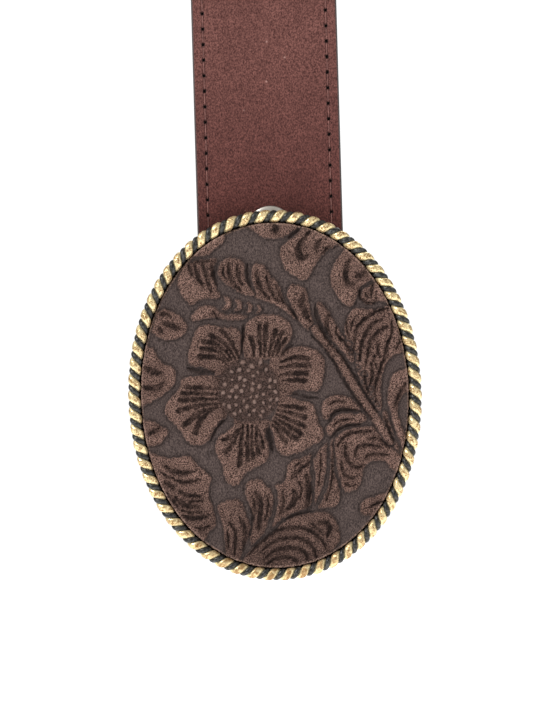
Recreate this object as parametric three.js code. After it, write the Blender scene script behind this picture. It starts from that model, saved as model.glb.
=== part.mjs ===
// A dress belt buckle on a short strap end: an oval plate with a rope-edge trim
// and a leather insert, a wire loop hinged to its back, and a doubled leather
// strap that folds round the loop's bar and is closed by two press studs.
// Millimetres. +X is to the right seen from the front, -Y is the front, +Z runs up the strap.

import * as THREE from 'three';

// ---------------------------------------------------------------- driving sizes

// Oval face, outer edge of the rope.
const OVAL_HALF_WIDTH = 38.1;
const OVAL_HALF_HEIGHT = 48.2;
const OVAL_EXPONENT = 2.06;       // 2 would be a plain ellipse
const OVAL_STEPS = 52;
const BEND_RADIUS = 420;          // the whole face is bent back along Z
const LAYER_GAP = 0.05;           // between the bent layers

// Layers of the buckle, front to back. The plate's back is y = 0 at its middle.
const PLATE_THICKNESS = 1.4;
const PLATE_INSET = 0.35;
const ROPE_DIAMETER = 3.3;
const ROPE_SIDES = 8;
const INSERT_INSET = 3.6;
const INSERT_THICKNESS = 2.2;
const ADHESIVE_THICKNESS = 0.2;
const ADHESIVE_INSET = 4.6;

// Strap: a face leather and a lining, doubled back on itself.
const STRAP_WIDTH = 38;
const STRAP_TOP = 112;
const STRAP_FRONT = 4.4;
const FACE_THICKNESS = 1.8;
const LINING_THICKNESS = 1.6;
const TAB_TOP = 53;
const STITCH_INSET = 2.9;
const THREAD_WIDTH = 0.5;
const THREAD_HEIGHT = 0.15;

// Wire loop and its hinge.
const WIRE_RADIUS = 1.6;
const WIRE_HALF_SIDES = 5;        // facets in half of the wire's round
const WIRE_CORNER = 4;
const LOOP_HALF_WIDTH = 21.8;
const BAR_Z = 17;
const BAR_CLEARANCE = 0.3;
const HINGE_Y = 3.9;
const HINGE_Z = -4;
const WIRE_END_X = 7;
const TUBE_HALF_LENGTH = 12;
const TUBE_OUTER_RADIUS = 2.5;
const TUBE_BORE_RADIUS = 1.95;
const HINGE_PAD_HALF_HEIGHT = 3.5;
const PAD_SEAT = 0.12;            // pads stand clear of the bent plate by this

// Hook that takes the hole of the belt's other end.
const HOOK_Z = -30;
const HOOK_RADIUS = 1.9;
const HOOK_REACH = 8.6;
const HOOK_LEAN = 3.2;
const HOOK_STRAIGHT_SHARE = 0.6;   // the prong rises straight for about this share, then leans
const HOOK_PAD_RADIUS = 5;
const HOOK_PAD_THICKNESS = 1.2;

// Snaps, two in line on the strap.
const SNAP_HEIGHTS = { upper: 43.2, lower: 28.4 };
const CAP_RADIUS = 6.2;
const CAP_HEIGHT = 1.3;
const SHANK_RADIUS = 1.5;
const SHANK_HOLE_RADIUS = 1.8;
const SOCKET_RADIUS = 5;
const SOCKET_BORE = 3.3;
const SOCKET_HEIGHT = 2.4;
const SOCKET_BASE = 0.9;
const STUD_BASE_RADIUS = 4.2;
const STUD_BASE = 0.8;
const STUD_NUB_RADIUS = 2.6;
const STUD_HEIGHT = 2.7;
const POST_RADIUS = 4.8;
const POST_HEIGHT = 1.1;
const PIN_END_GAP = 0.3;           // a shank stops this short of what it faces
const RIM = 0.4;                  // chamfer or rim height on the small round pieces
const ROUND_SEGMENTS = 18;

// ---------------------------------------------------------------- worked-out places

const STRAP_HALF = STRAP_WIDTH / 2;
const STRAP_LAYER_SEAM = STRAP_FRONT + FACE_THICKNESS;
const STRAP_BACK = STRAP_LAYER_SEAM + LINING_THICKNESS;
const FOLD_INNER = WIRE_RADIUS + BAR_CLEARANCE;
const FOLD_OUTER = FOLD_INNER + FACE_THICKNESS + LINING_THICKNESS;
const BAR_Y = STRAP_BACK + FOLD_INNER;
const TAB_INNER = BAR_Y + FOLD_INNER;
const TAB_LAYER_SEAM = TAB_INNER + LINING_THICKNESS;
const TAB_OUTER = TAB_LAYER_SEAM + FACE_THICKNESS;
const PLATE_FRONT = -PLATE_THICKNESS;
const ADHESIVE_BACK = PLATE_FRONT - LAYER_GAP;
const INSERT_BACK = ADHESIVE_BACK - ADHESIVE_THICKNESS - LAYER_GAP;
const ORIGIN_Y = STRAP_FRONT + FACE_THICKNESS / 2;

// ---------------------------------------------------------------- materials

function material(colour, roughness, metalness) {
  return new THREE.MeshStandardMaterial({ color: colour, roughness, metalness });
}

const plateMetal = material(0xb59a63, 0.35, 1);
const ropeMetal = material(0xd9bd78, 0.3, 1);
const wireMetal = material(0xb59a63, 0.32, 1);
const snapMetal = material(0xb4aa9c, 0.3, 1);
const strapLeather = material(0x6b403c, 0.85, 0);
const insertLeather = material(0x594a45, 0.8, 0);
const threadFibre = material(0x5c3a34, 0.9, 0);
const adhesiveFilm = material(0x8a7f66, 0.6, 0);

// ---------------------------------------------------------------- shared helpers

const buckle = new THREE.Group();
buckle.position.set(0, -ORIGIN_Y, -STRAP_TOP);

function addPart(name, geometry, partMaterial) {
  const mesh = new THREE.Mesh(geometry, partMaterial);
  mesh.name = name;
  buckle.add(mesh);
  return mesh;
}

// How far the bent face stands behind the flat one at height z.
function bendAt(z) {
  return (z * z) / (2 * BEND_RADIUS);
}

// Power of a cosine or sine that keeps its sign.
function signedPower(value, power) {
  return Math.sign(value) * Math.abs(value) ** power;
}

// Turns a profile about the oval's axis. A profile point is [radius, y], where
// radius is measured along the short half-axis; the long half-axis is longer by
// the same amount all the way out, and closes up to nothing in the middle.
function ovalLathe(profile) {
  const points = profile.map(([radius, y]) => new THREE.Vector2(radius, y));
  const geometry = new THREE.LatheGeometry(points, OVAL_STEPS);
  const position = geometry.attributes.position;
  const stretch = OVAL_HALF_HEIGHT - OVAL_HALF_WIDTH;
  for (let i = 0; i < position.count; i += 1) {
    const radius = Math.hypot(position.getX(i), position.getZ(i));
    const angle = Math.atan2(position.getZ(i), position.getX(i));
    const longRadius = radius + stretch * Math.min(1, (2 * radius) / OVAL_HALF_WIDTH);
    const x = radius * signedPower(Math.cos(angle), 2 / OVAL_EXPONENT);
    const z = longRadius * signedPower(Math.sin(angle), 2 / OVAL_EXPONENT);
    position.setXYZ(i, x, position.getY(i) + bendAt(z), z);
  }
  geometry.computeVertexNormals();
  return geometry;
}

// A bent oval sheet between two depths, with rings close enough to follow the bend.
function ovalSheet(edgeRadius, frontY, backY, edgeRound) {
  const innerRings = [0, 0.25, 0.5, 0.75];
  const profile = innerRings.map((share) => [share * edgeRadius, frontY]);
  profile.push([edgeRadius - edgeRound, frontY]);
  profile.push([edgeRadius, frontY + edgeRound]);
  profile.push([edgeRadius, backY]);
  innerRings.reverse().forEach((share) => profile.push([share * edgeRadius, backY]));
  return ovalLathe(profile);
}

// A round piece whose axis runs along Y, placed on the strap's middle line.
function roundPiece(profile, z) {
  const points = profile.map(([radius, y]) => new THREE.Vector2(radius, y));
  const geometry = new THREE.LatheGeometry(points, ROUND_SEGMENTS);
  geometry.translate(0, 0, z);
  return geometry;
}

// A flat piece drawn in x and z and made thick from yFront to yBack.
function flatPiece(shape, yFront, yBack) {
  const depth = yBack - yFront;
  const geometry = new THREE.ExtrudeGeometry(shape, {
    depth, bevelEnabled: false, curveSegments: 8,
  });
  geometry.rotateX(Math.PI / 2);
  geometry.translate(0, yBack, 0);
  return geometry;
}

function circleHole(x, z, radius) {
  const hole = new THREE.Path();
  hole.absarc(x, z, radius, 0, 2 * Math.PI, true);
  return hole;
}

// ---------------------------------------------------------------- buckle face

function buildPlate() {
  const plateRadius = OVAL_HALF_WIDTH - PLATE_INSET;
  addPart('back_plate', ovalSheet(plateRadius, PLATE_FRONT, 0, 0.3), plateMetal);
}

function buildRope() {
  const ropeRadius = ROPE_DIAMETER / 2;
  const ringRadius = OVAL_HALF_WIDTH - ropeRadius;
  const ringY = PLATE_FRONT - LAYER_GAP - ropeRadius;
  const profile = [];
  for (let i = 0; i <= ROPE_SIDES; i += 1) {
    const angle = (2 * Math.PI * i) / ROPE_SIDES;
    profile.push([
      ringRadius + ropeRadius * Math.cos(angle),
      ringY + ropeRadius * Math.sin(angle),
    ]);
  }
  profile[ROPE_SIDES] = profile[0];
  addPart('rope_trim', ovalLathe(profile), ropeMetal);
}

function buildInsert() {
  const adhesiveRadius = OVAL_HALF_WIDTH - ADHESIVE_INSET;
  const adhesiveFront = ADHESIVE_BACK - ADHESIVE_THICKNESS;
  const insertRadius = OVAL_HALF_WIDTH - INSERT_INSET;
  const insertFront = INSERT_BACK - INSERT_THICKNESS;
  addPart('insert_adhesive', ovalSheet(adhesiveRadius, adhesiveFront, ADHESIVE_BACK, 0.05), adhesiveFilm);
  addPart('leather_insert', ovalSheet(insertRadius, insertFront, INSERT_BACK, 0.6), insertLeather);
}

// ---------------------------------------------------------------- buckle back

function buildHinge() {
  const padBack = HINGE_Y - TUBE_OUTER_RADIUS - LAYER_GAP;
  const pad = new THREE.Shape();
  pad.moveTo(-TUBE_HALF_LENGTH, HINGE_Z - HINGE_PAD_HALF_HEIGHT);
  pad.lineTo(TUBE_HALF_LENGTH, HINGE_Z - HINGE_PAD_HALF_HEIGHT);
  pad.lineTo(TUBE_HALF_LENGTH, HINGE_Z + HINGE_PAD_HALF_HEIGHT);
  pad.lineTo(-TUBE_HALF_LENGTH, HINGE_Z + HINGE_PAD_HALF_HEIGHT);
  addPart('hinge_pad', flatPiece(pad, PAD_SEAT, padBack), plateMetal);

  const ring = new THREE.Shape();
  ring.absarc(0, 0, TUBE_OUTER_RADIUS, 0, 2 * Math.PI, false);
  ring.holes.push(circleHole(0, 0, TUBE_BORE_RADIUS));
  const tube = new THREE.ExtrudeGeometry(ring, {
    depth: 2 * TUBE_HALF_LENGTH, bevelEnabled: false, curveSegments: 10,
  });
  tube.translate(0, 0, -TUBE_HALF_LENGTH);
  tube.rotateY(Math.PI / 2);
  tube.translate(0, HINGE_Y, HINGE_Z);
  addPart('hinge_tube', tube, plateMetal);
}

function buildHook() {
  const padFront = bendAt(HOOK_Z - HOOK_PAD_RADIUS) + PAD_SEAT;
  const padBack = padFront + HOOK_PAD_THICKNESS;
  addPart('hook_pad', roundPiece([
    [0, padFront],
    [HOOK_PAD_RADIUS, padFront],
    [HOOK_PAD_RADIUS, padBack - RIM],
    [HOOK_PAD_RADIUS - RIM, padBack],
    [0, padBack],
  ], HOOK_Z), plateMetal);

  const foot = padBack + LAYER_GAP;
  const tip = foot + HOOK_REACH;
  const stem = new THREE.QuadraticBezierCurve3(
    new THREE.Vector3(0, foot, HOOK_Z),
    new THREE.Vector3(0, foot + HOOK_STRAIGHT_SHARE * HOOK_REACH, HOOK_Z),
    new THREE.Vector3(0, tip, HOOK_Z + HOOK_LEAN),
  );
  const section = new THREE.Shape();
  section.absarc(0, 0, HOOK_RADIUS, 0, 2 * Math.PI, false);
  addPart('hook_prong', new THREE.ExtrudeGeometry(section, {
    steps: 10, extrudePath: stem, curveSegments: WIRE_HALF_SIDES,
  }), plateMetal);
}

// ---------------------------------------------------------------- wire loop

// The loop's plane runs from the bar down to the hinge: a point at a share of
// that way, at a given x. Share 0 is the bar and share 1 is the hinge.
function loopPoint(x, share) {
  return new THREE.Vector3(
    x,
    BAR_Y + (HINGE_Y - BAR_Y) * share,
    BAR_Z + (HINGE_Z - BAR_Z) * share,
  );
}

function buildLoop() {
  const planeLength = Math.hypot(HINGE_Y - BAR_Y, HINGE_Z - BAR_Z);
  const cornerShare = WIRE_CORNER / planeLength;
  const side = LOOP_HALF_WIDTH;
  const cornerX = LOOP_HALF_WIDTH - WIRE_CORNER;
  const path = new THREE.CurvePath();
  const line = (from, to) => path.add(new THREE.LineCurve3(from, to));
  const corner = (from, at, to) => path.add(new THREE.QuadraticBezierCurve3(from, at, to));

  line(loopPoint(-WIRE_END_X, 1), loopPoint(-cornerX, 1));
  corner(loopPoint(-cornerX, 1), loopPoint(-side, 1), loopPoint(-side, 1 - cornerShare));
  line(loopPoint(-side, 1 - cornerShare), loopPoint(-side, cornerShare));
  corner(loopPoint(-side, cornerShare), loopPoint(-side, 0), loopPoint(-cornerX, 0));
  line(loopPoint(-cornerX, 0), loopPoint(cornerX, 0));
  corner(loopPoint(cornerX, 0), loopPoint(side, 0), loopPoint(side, cornerShare));
  line(loopPoint(side, cornerShare), loopPoint(side, 1 - cornerShare));
  corner(loopPoint(side, 1 - cornerShare), loopPoint(side, 1), loopPoint(cornerX, 1));
  line(loopPoint(cornerX, 1), loopPoint(WIRE_END_X, 1));

  const section = new THREE.Shape();
  section.absarc(0, 0, WIRE_RADIUS, 0, 2 * Math.PI, false);
  addPart('wire_loop', new THREE.ExtrudeGeometry(section, {
    steps: 60, extrudePath: path, curveSegments: WIRE_HALF_SIDES,
  }), wireMetal);
}

// ---------------------------------------------------------------- strap and tab

// One flat layer of leather from the bar up to its top edge, punched for the snaps.
function leatherLayer(name, topZ, yFront, yBack) {
  const sheet = new THREE.Shape();
  sheet.moveTo(-STRAP_HALF, BAR_Z);
  sheet.lineTo(STRAP_HALF, BAR_Z);
  sheet.lineTo(STRAP_HALF, topZ);
  sheet.lineTo(-STRAP_HALF, topZ);
  Object.values(SNAP_HEIGHTS).forEach((z) => {
    sheet.holes.push(circleHole(0, z, SHANK_HOLE_RADIUS));
  });
  addPart(name, flatPiece(sheet, yFront, yBack), strapLeather);
}

// The stitching on one face: up one edge, across the end and down the other.
function threadRow(name, topZ, yFront, yBack) {
  const outerX = STRAP_HALF - STITCH_INSET + THREAD_WIDTH / 2;
  const innerX = outerX - THREAD_WIDTH;
  const outerTop = topZ - STITCH_INSET + THREAD_WIDTH / 2;
  const innerTop = outerTop - THREAD_WIDTH;
  const row = new THREE.Shape();
  row.moveTo(-outerX, BAR_Z);
  row.lineTo(-innerX, BAR_Z);
  row.lineTo(-innerX, innerTop);
  row.lineTo(innerX, innerTop);
  row.lineTo(innerX, BAR_Z);
  row.lineTo(outerX, BAR_Z);
  row.lineTo(outerX, outerTop);
  row.lineTo(-outerX, outerTop);
  addPart(name, flatPiece(row, yFront, yBack), threadFibre);
}

function buildStrap() {
  leatherLayer('strap_face', STRAP_TOP, STRAP_FRONT, STRAP_LAYER_SEAM);
  leatherLayer('strap_lining', STRAP_TOP, STRAP_LAYER_SEAM, STRAP_BACK);
  threadRow('strap_front_thread', STRAP_TOP, STRAP_FRONT - THREAD_HEIGHT, STRAP_FRONT);
  threadRow('strap_back_thread', STRAP_TOP, STRAP_BACK, STRAP_BACK + THREAD_HEIGHT);
}

function buildTab() {
  leatherLayer('tab_lining', TAB_TOP, TAB_INNER, TAB_LAYER_SEAM);
  leatherLayer('tab_face', TAB_TOP, TAB_LAYER_SEAM, TAB_OUTER);
  threadRow('tab_inner_thread', TAB_TOP, TAB_INNER - THREAD_HEIGHT, TAB_INNER);
  threadRow('tab_outer_thread', TAB_TOP, TAB_OUTER, TAB_OUTER + THREAD_HEIGHT);
}

function buildFold() {
  const halfRing = new THREE.Shape();
  halfRing.absarc(0, 0, FOLD_OUTER, Math.PI, 2 * Math.PI, false);
  halfRing.absarc(0, 0, FOLD_INNER, 2 * Math.PI, Math.PI, true);
  const fold = new THREE.ExtrudeGeometry(halfRing, {
    depth: STRAP_WIDTH, bevelEnabled: false, curveSegments: 8,
  });
  fold.translate(0, 0, -STRAP_HALF);
  // The drawing's x becomes y and its y becomes z.
  fold.applyMatrix4(new THREE.Matrix4().set(
    0, 0, 1, 0,
    1, 0, 0, BAR_Y,
    0, 1, 0, BAR_Z,
    0, 0, 0, 1,
  ));
  addPart('strap_fold', fold, strapLeather);
}

// ---------------------------------------------------------------- snaps

function buildSnap(place, z) {
  const capEdge = STRAP_FRONT - RIM;
  const capTop = STRAP_FRONT - CAP_HEIGHT;
  const shankEnd = STRAP_BACK + SOCKET_BASE - PIN_END_GAP;
  addPart(`snap_cap_${place}`, roundPiece([
    [0, capTop],
    [CAP_RADIUS * 0.5, capTop + CAP_HEIGHT * 0.1],
    [CAP_RADIUS * 0.8, capTop + CAP_HEIGHT * 0.27],
    [CAP_RADIUS * 0.95, capTop + CAP_HEIGHT * 0.5],
    [CAP_RADIUS, capEdge],
    [CAP_RADIUS, STRAP_FRONT],
    [SHANK_RADIUS, STRAP_FRONT],
    [SHANK_RADIUS, shankEnd],
    [0, shankEnd],
  ], z), snapMetal);

  const socketEnd = STRAP_BACK + SOCKET_HEIGHT;
  const socketFloor = STRAP_BACK + SOCKET_BASE;
  addPart(`snap_socket_${place}`, roundPiece([
    [SHANK_HOLE_RADIUS, STRAP_BACK],
    [SOCKET_RADIUS, STRAP_BACK],
    [SOCKET_RADIUS, socketEnd - RIM],
    [SOCKET_RADIUS - RIM, socketEnd],
    [SOCKET_BORE, socketEnd],
    [SOCKET_BORE, socketFloor],
    [SHANK_HOLE_RADIUS, socketFloor],
    [SHANK_HOLE_RADIUS, STRAP_BACK],
  ], z), snapMetal);

  const studBack = TAB_INNER - STUD_BASE;
  const studTip = TAB_INNER - STUD_HEIGHT;
  const pocket = TAB_INNER - 2 * PIN_END_GAP;
  addPart(`snap_stud_${place}`, roundPiece([
    [0, studTip],
    [STUD_NUB_RADIUS - RIM, studTip],
    [STUD_NUB_RADIUS, studTip + RIM],
    [STUD_NUB_RADIUS, studTip + 2 * RIM],
    [STUD_NUB_RADIUS - RIM, studBack],
    [STUD_BASE_RADIUS, studBack],
    [STUD_BASE_RADIUS, TAB_INNER],
    [SHANK_HOLE_RADIUS, TAB_INNER],
    [SHANK_HOLE_RADIUS, pocket],
    [0, pocket],
  ], z), snapMetal);

  const postTop = TAB_OUTER + POST_HEIGHT;
  const postShankEnd = TAB_INNER - PIN_END_GAP;
  addPart(`snap_post_${place}`, roundPiece([
    [0, postShankEnd],
    [SHANK_RADIUS, postShankEnd],
    [SHANK_RADIUS, TAB_OUTER],
    [POST_RADIUS, TAB_OUTER],
    [POST_RADIUS, TAB_OUTER + RIM],
    [POST_RADIUS * 0.85, TAB_OUTER + 2 * RIM],
    [POST_RADIUS * 0.5, postTop],
    [0, postTop],
  ], z), snapMetal);
}

// ---------------------------------------------------------------- assembly

buildPlate();
buildRope();
buildInsert();
buildHinge();
buildHook();
buildLoop();
buildStrap();
buildTab();
buildFold();
Object.entries(SNAP_HEIGHTS).forEach(([place, z]) => buildSnap(place, z));

export default buckle;
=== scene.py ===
"""Looks of the dress belt buckle: twisted rope edge, embossed leather face, strap end, snaps and wire loop.

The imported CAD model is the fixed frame. Lengths named ..._MM are millimetres; everything placed in
Blender is in metres. The oval's middle is the point that the face pieces are drawn about, with x to the
right and z up, both in millimetres.
"""

import math

import bmesh
import bpy
import numpy as np
from mathutils import Matrix, Vector


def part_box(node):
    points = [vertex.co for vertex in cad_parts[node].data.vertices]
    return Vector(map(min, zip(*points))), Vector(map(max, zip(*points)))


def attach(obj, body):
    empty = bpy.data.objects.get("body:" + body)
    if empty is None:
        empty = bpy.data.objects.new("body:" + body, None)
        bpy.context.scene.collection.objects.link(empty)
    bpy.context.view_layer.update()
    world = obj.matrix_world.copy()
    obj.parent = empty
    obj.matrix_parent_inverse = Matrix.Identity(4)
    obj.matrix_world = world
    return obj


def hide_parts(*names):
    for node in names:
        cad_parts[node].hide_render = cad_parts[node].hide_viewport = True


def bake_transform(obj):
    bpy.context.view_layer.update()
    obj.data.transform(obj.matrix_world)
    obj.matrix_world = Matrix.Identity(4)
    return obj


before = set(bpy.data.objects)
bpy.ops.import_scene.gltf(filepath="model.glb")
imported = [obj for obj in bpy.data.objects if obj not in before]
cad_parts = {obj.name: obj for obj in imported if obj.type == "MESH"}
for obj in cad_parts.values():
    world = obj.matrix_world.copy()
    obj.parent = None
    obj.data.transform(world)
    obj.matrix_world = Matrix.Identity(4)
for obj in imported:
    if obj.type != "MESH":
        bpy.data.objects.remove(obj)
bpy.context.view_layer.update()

MM = 0.001
SEED = 7
ROUND_SIDES = 32

# ------------------------------------------------------------------ sizes taken from the frame


def box_mm(node):
    """The low and the high corner of a CAD piece, in millimetres."""
    low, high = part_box(node)
    return np.array(low) / MM, np.array(high) / MM


ROPE_LOW, ROPE_HIGH = box_mm("rope_trim")
PLATE_LOW, PLATE_HIGH = box_mm("back_plate")
INSERT_LOW, INSERT_HIGH = box_mm("leather_insert")
FACE_LOW, FACE_HIGH = box_mm("strap_face")
LINING_HIGH = box_mm("strap_lining")[1]
TAB_FACE_HIGH = box_mm("tab_face")[1]
FOLD_LOW, FOLD_HIGH = box_mm("strap_fold")
LOOP_HIGH = box_mm("wire_loop")[1]
TUBE_LOW, TUBE_HIGH = box_mm("hinge_tube")
HINGE_PAD_LOW, HINGE_PAD_HIGH = box_mm("hinge_pad")
HOOK_PAD_LOW, HOOK_PAD_HIGH = box_mm("hook_pad")
HOOK_LOW = box_mm("hook_prong")[0]

OVAL_EXPONENT = 2.06
BEND_RADIUS_MM = 420.0
HALF_WIDTH_MM = (ROPE_HIGH[0] - ROPE_LOW[0]) / 2
HALF_HEIGHT_MM = (ROPE_HIGH[2] - ROPE_LOW[2]) / 2
CENTRE_Z_MM = (ROPE_HIGH[2] + ROPE_LOW[2]) / 2
STRETCH_MM = HALF_HEIGHT_MM - HALF_WIDTH_MM
ROPE_RADIUS_MM = 1.65
ROPE_GAP_MM = 0.05
ROPE_Y_MM = PLATE_LOW[1] - ROPE_GAP_MM - ROPE_RADIUS_MM
HINGE_Y_MM = (TUBE_LOW[1] + TUBE_HIGH[1]) / 2
HINGE_Z_MM = (TUBE_LOW[2] + TUBE_HIGH[2]) / 2
BAR_Y_MM = (FOLD_LOW[1] + FOLD_HIGH[1]) / 2
BAR_Z_MM = FOLD_HIGH[2]

# ------------------------------------------------------------------ mesh helpers


def make_object(name, points_mm, faces, material):
    """A piece with smooth shading, from points in millimetres."""
    mesh = bpy.data.meshes.new(name)
    mesh.from_pydata([tuple(p) for p in np.asarray(points_mm, float) * MM], [], faces)
    mesh.validate()
    mesh.polygons.foreach_set("use_smooth", [True] * len(mesh.polygons))
    mesh.materials.append(material)
    piece = bpy.data.objects.new(name, mesh)
    bpy.context.scene.collection.objects.link(piece)
    return piece


def fit(piece, slot, body, *nodes):
    """Ties a piece to the frame: the body it rides on and the CAD pieces it replaces, which it hides. slot is
    not used.
    """
    if nodes:
        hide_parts(*nodes)
    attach(piece, body)


def set_attribute(piece, name, values):
    """Gives a piece one number at each point, for its material to read."""
    attribute = piece.data.attributes.new(name, "FLOAT", "POINT")
    attribute.data.foreach_set("value", np.asarray(values, np.float32))


def ring_faces(rings, ring_size, close_rings=False, close_ring=True):
    """Quads between neighbouring rings of points, all rings having the same number of points."""
    faces = []
    last_ring = rings if close_rings else rings - 1
    last_point = ring_size if close_ring else ring_size - 1
    for i in range(last_ring):
        this_ring = i * ring_size
        next_ring = ((i + 1) % rings) * ring_size
        for j in range(last_point):
            k = (j + 1) % ring_size
            faces.append((this_ring + j, this_ring + k, next_ring + k, next_ring + j))
    return faces


def close_with_fan(points, faces, ring, ring_size, tip):
    """Closes one ring of points with triangles that meet at the tip."""
    points.append(tip)
    for j in range(ring_size):
        faces.append((ring * ring_size + j, ring * ring_size + (j + 1) % ring_size, len(points) - 1))


def turn_out(piece):
    """Makes every face of a closed piece point outwards."""
    work = bmesh.new()
    work.from_mesh(piece.data)
    bmesh.ops.recalc_face_normals(work, faces=work.faces)
    work.to_mesh(piece.data)
    work.free()
    return piece


def unit(vectors):
    """The vectors, one in each row, all made one unit long."""
    return vectors / np.linalg.norm(vectors, axis=1)[:, None]


def square_to(vectors, directions):
    """The part of each vector that is square to its direction, one unit long."""
    return unit(vectors - directions * (vectors * directions).sum(1)[:, None])


def carried_guides(tangent):
    """One side vector for each point of a path, carried along it without twisting."""
    guide = np.array([1.0, 0.0, 0.0]) if abs(tangent[0][0]) < 0.7 else np.array([0.0, 0.0, 1.0])
    guides = []
    for direction in tangent:
        guide = guide - direction * guide.dot(direction)
        guide = guide / np.linalg.norm(guide)
        guides.append(guide)
    return np.array(guides)


def tube(name, path_mm, radii_mm, sides, material, closed=False, guides=None, exponent=2.0):
    """A tube along a path. guides, one vector for each point, fix how the section is turned.

    The section is round, or squarer the more its exponent is over 2.
    """
    path = np.asarray(path_mm, float)
    count = len(path)
    radii = np.broadcast_to(np.asarray(radii_mm, float), (count,))
    if closed:
        tangent = unit(np.roll(path, -1, 0) - np.roll(path, 1, 0))
    else:
        tangent = unit(np.gradient(path, axis=0))
    if guides is None:
        guides = carried_guides(tangent)
    first = square_to(np.asarray(guides, float), tangent)
    second = np.cross(tangent, first)
    angle = np.linspace(0, 2 * np.pi, sides, endpoint=False)
    across = signed_power(np.cos(angle), 2 / exponent)[None, :, None]
    beside = signed_power(np.sin(angle), 2 / exponent)[None, :, None]
    section = across * first[:, None, :] + beside * second[:, None, :]
    points = (path[:, None, :] + section * radii[:, None, None]).reshape(-1, 3)
    faces = ring_faces(count, sides, close_rings=closed)
    if not closed:
        faces.append(tuple(range(sides))[::-1])
        faces.append(tuple((count - 1) * sides + j for j in range(sides)))
    return turn_out(make_object(name, points, faces, material))


def turned(name, profile_mm, z_mm, material, segments=64):
    """A piece turned about a line along y at x = 0.

    Its profile is a list of (radius, y) and is closed on the axis, or on itself if it starts off the axis.
    """
    on_axis = profile_mm[0][0] == 0
    inner = profile_mm[1:-1] if on_axis else profile_mm
    angle = np.linspace(0, 2 * np.pi, segments, endpoint=False)
    points = []
    for radius, y in inner:
        for a in angle:
            points.append((radius * math.cos(a), y, z_mm + radius * math.sin(a)))
    faces = ring_faces(len(inner), segments, close_rings=not on_axis)
    if on_axis:
        for end, ring in ((profile_mm[0], 0), (profile_mm[-1], len(inner) - 1)):
            close_with_fan(points, faces, ring, segments, (0, end[1], z_mm))
    return turn_out(make_object(name, points, faces, material))


def bevelled(piece, width_mm, segments=3, angle=0.5):
    """Rounds a piece's sharp edges for good."""
    modifier = piece.modifiers.new("round", "BEVEL")
    modifier.width = width_mm * MM
    modifier.segments = segments
    modifier.angle_limit = angle
    graph = bpy.context.evaluated_depsgraph_get()
    mesh = bpy.data.meshes.new_from_object(piece.evaluated_get(graph))
    piece.modifiers.clear()
    piece.data = mesh
    return piece


def signed_power(value, power):
    """The power of the value's size, with the value's sign kept."""
    return np.sign(value) * np.abs(value) ** power


def bend_mm(z):
    """How far back the bent buckle lies at a height over or under its middle."""
    return z * z / (2 * BEND_RADIUS_MM)


def oval_ring(radius, angle):
    """x and z on the oval whose short half-axis is radius. Small ovals are rounder than the outer one."""
    stretch = STRETCH_MM * np.minimum(1.0, 2 * radius / HALF_WIDTH_MM)
    x = radius * signed_power(np.cos(angle), 2 / OVAL_EXPONENT)
    z = (radius + stretch) * signed_power(np.sin(angle), 2 / OVAL_EXPONENT)
    return x, z


def smooth_step(value):
    """0 up to 0 and 1 from 1 on, with a smooth rise between."""
    t = np.clip(value, 0, 1)
    return t * t * (3 - 2 * t)


# ------------------------------------------------------------------ material helpers


class Paint:
    """Builds one material's nodes. What a method adds, it gives back as an output socket."""

    def __init__(self, name, **shader_values):
        self.material = bpy.data.materials.new(name)
        self.material.use_nodes = True
        self.tree = self.material.node_tree
        self.shader = self.tree.nodes["Principled BSDF"]
        self.coordinates = self.tree.nodes.new("ShaderNodeTexCoord").outputs["Object"]
        for socket, value in shader_values.items():
            self.shader.inputs[socket.replace("_", " ")].default_value = value

    def node(self, kind, inputs, **settings):
        """Adds a node. An input is a plain value or another node's output socket."""
        node = self.tree.nodes.new("ShaderNode" + kind)
        for name, value in settings.items():
            setattr(node, name, value)
        for socket, value in inputs.items():
            if isinstance(value, bpy.types.NodeSocket):
                self.tree.links.new(value, node.inputs[socket])
            else:
                node.inputs[socket].default_value = value
        return node

    def stretched(self, scale):
        return self.node("Mapping", {"Scale": scale, "Vector": self.coordinates}).outputs["Vector"]

    def noise(self, per_metre, detail=3.0, roughness=0.55, vector=None):
        inputs = {"Scale": per_metre, "Detail": detail, "Roughness": roughness}
        inputs["Vector"] = vector or self.coordinates
        return self.node("TexNoise", inputs).outputs["Fac"]

    def cells(self, per_metre):
        return self.node("TexVoronoi", {"Scale": per_metre, "Vector": self.coordinates}).outputs["Distance"]

    def height(self):
        return self.node("SeparateXYZ", {0: self.coordinates}).outputs["Z"]

    def attribute(self, name):
        return self.node("Attribute", {}, attribute_name=name).outputs["Fac"]

    def remap(self, value, low, high, to_low=0.0, to_high=1.0):
        inputs = {"Value": value, "From Min": low, "From Max": high, "To Min": to_low, "To Max": to_high}
        return self.node("MapRange", inputs).outputs["Result"]

    def maths(self, operation, first, second):
        return self.node("Math", {0: first, 1: second}, operation=operation).outputs[0]

    def times(self, first, *others):
        for other in others:
            first = self.maths("MULTIPLY", first, other)
        return first

    def mix(self, factor, first, second, blend="MIX"):
        """Mixes two colours, each a triple or a socket, by a factor."""
        first, second = ((*value, 1.0) if isinstance(value, tuple) else value for value in (first, second))
        inputs = {0: factor, 6: first, 7: second}
        return self.node("Mix", inputs, data_type="RGBA", blend_type=blend).outputs[2]

    def bump(self, height, strength, distance_mm, below=None):
        inputs = {"Strength": strength, "Distance": distance_mm * MM, "Height": height}
        if below is not None:
            inputs["Normal"] = below
        return self.node("Bump", inputs).outputs["Normal"]

    def finished(self, colour, normal, roughness=None):
        """Links the outputs to the shader and returns the material."""
        for socket, output in (("Base Color", colour), ("Roughness", roughness), ("Normal", normal)):
            if output is not None:
                self.tree.links.new(output, self.shader.inputs[socket])
        return self.material


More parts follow.
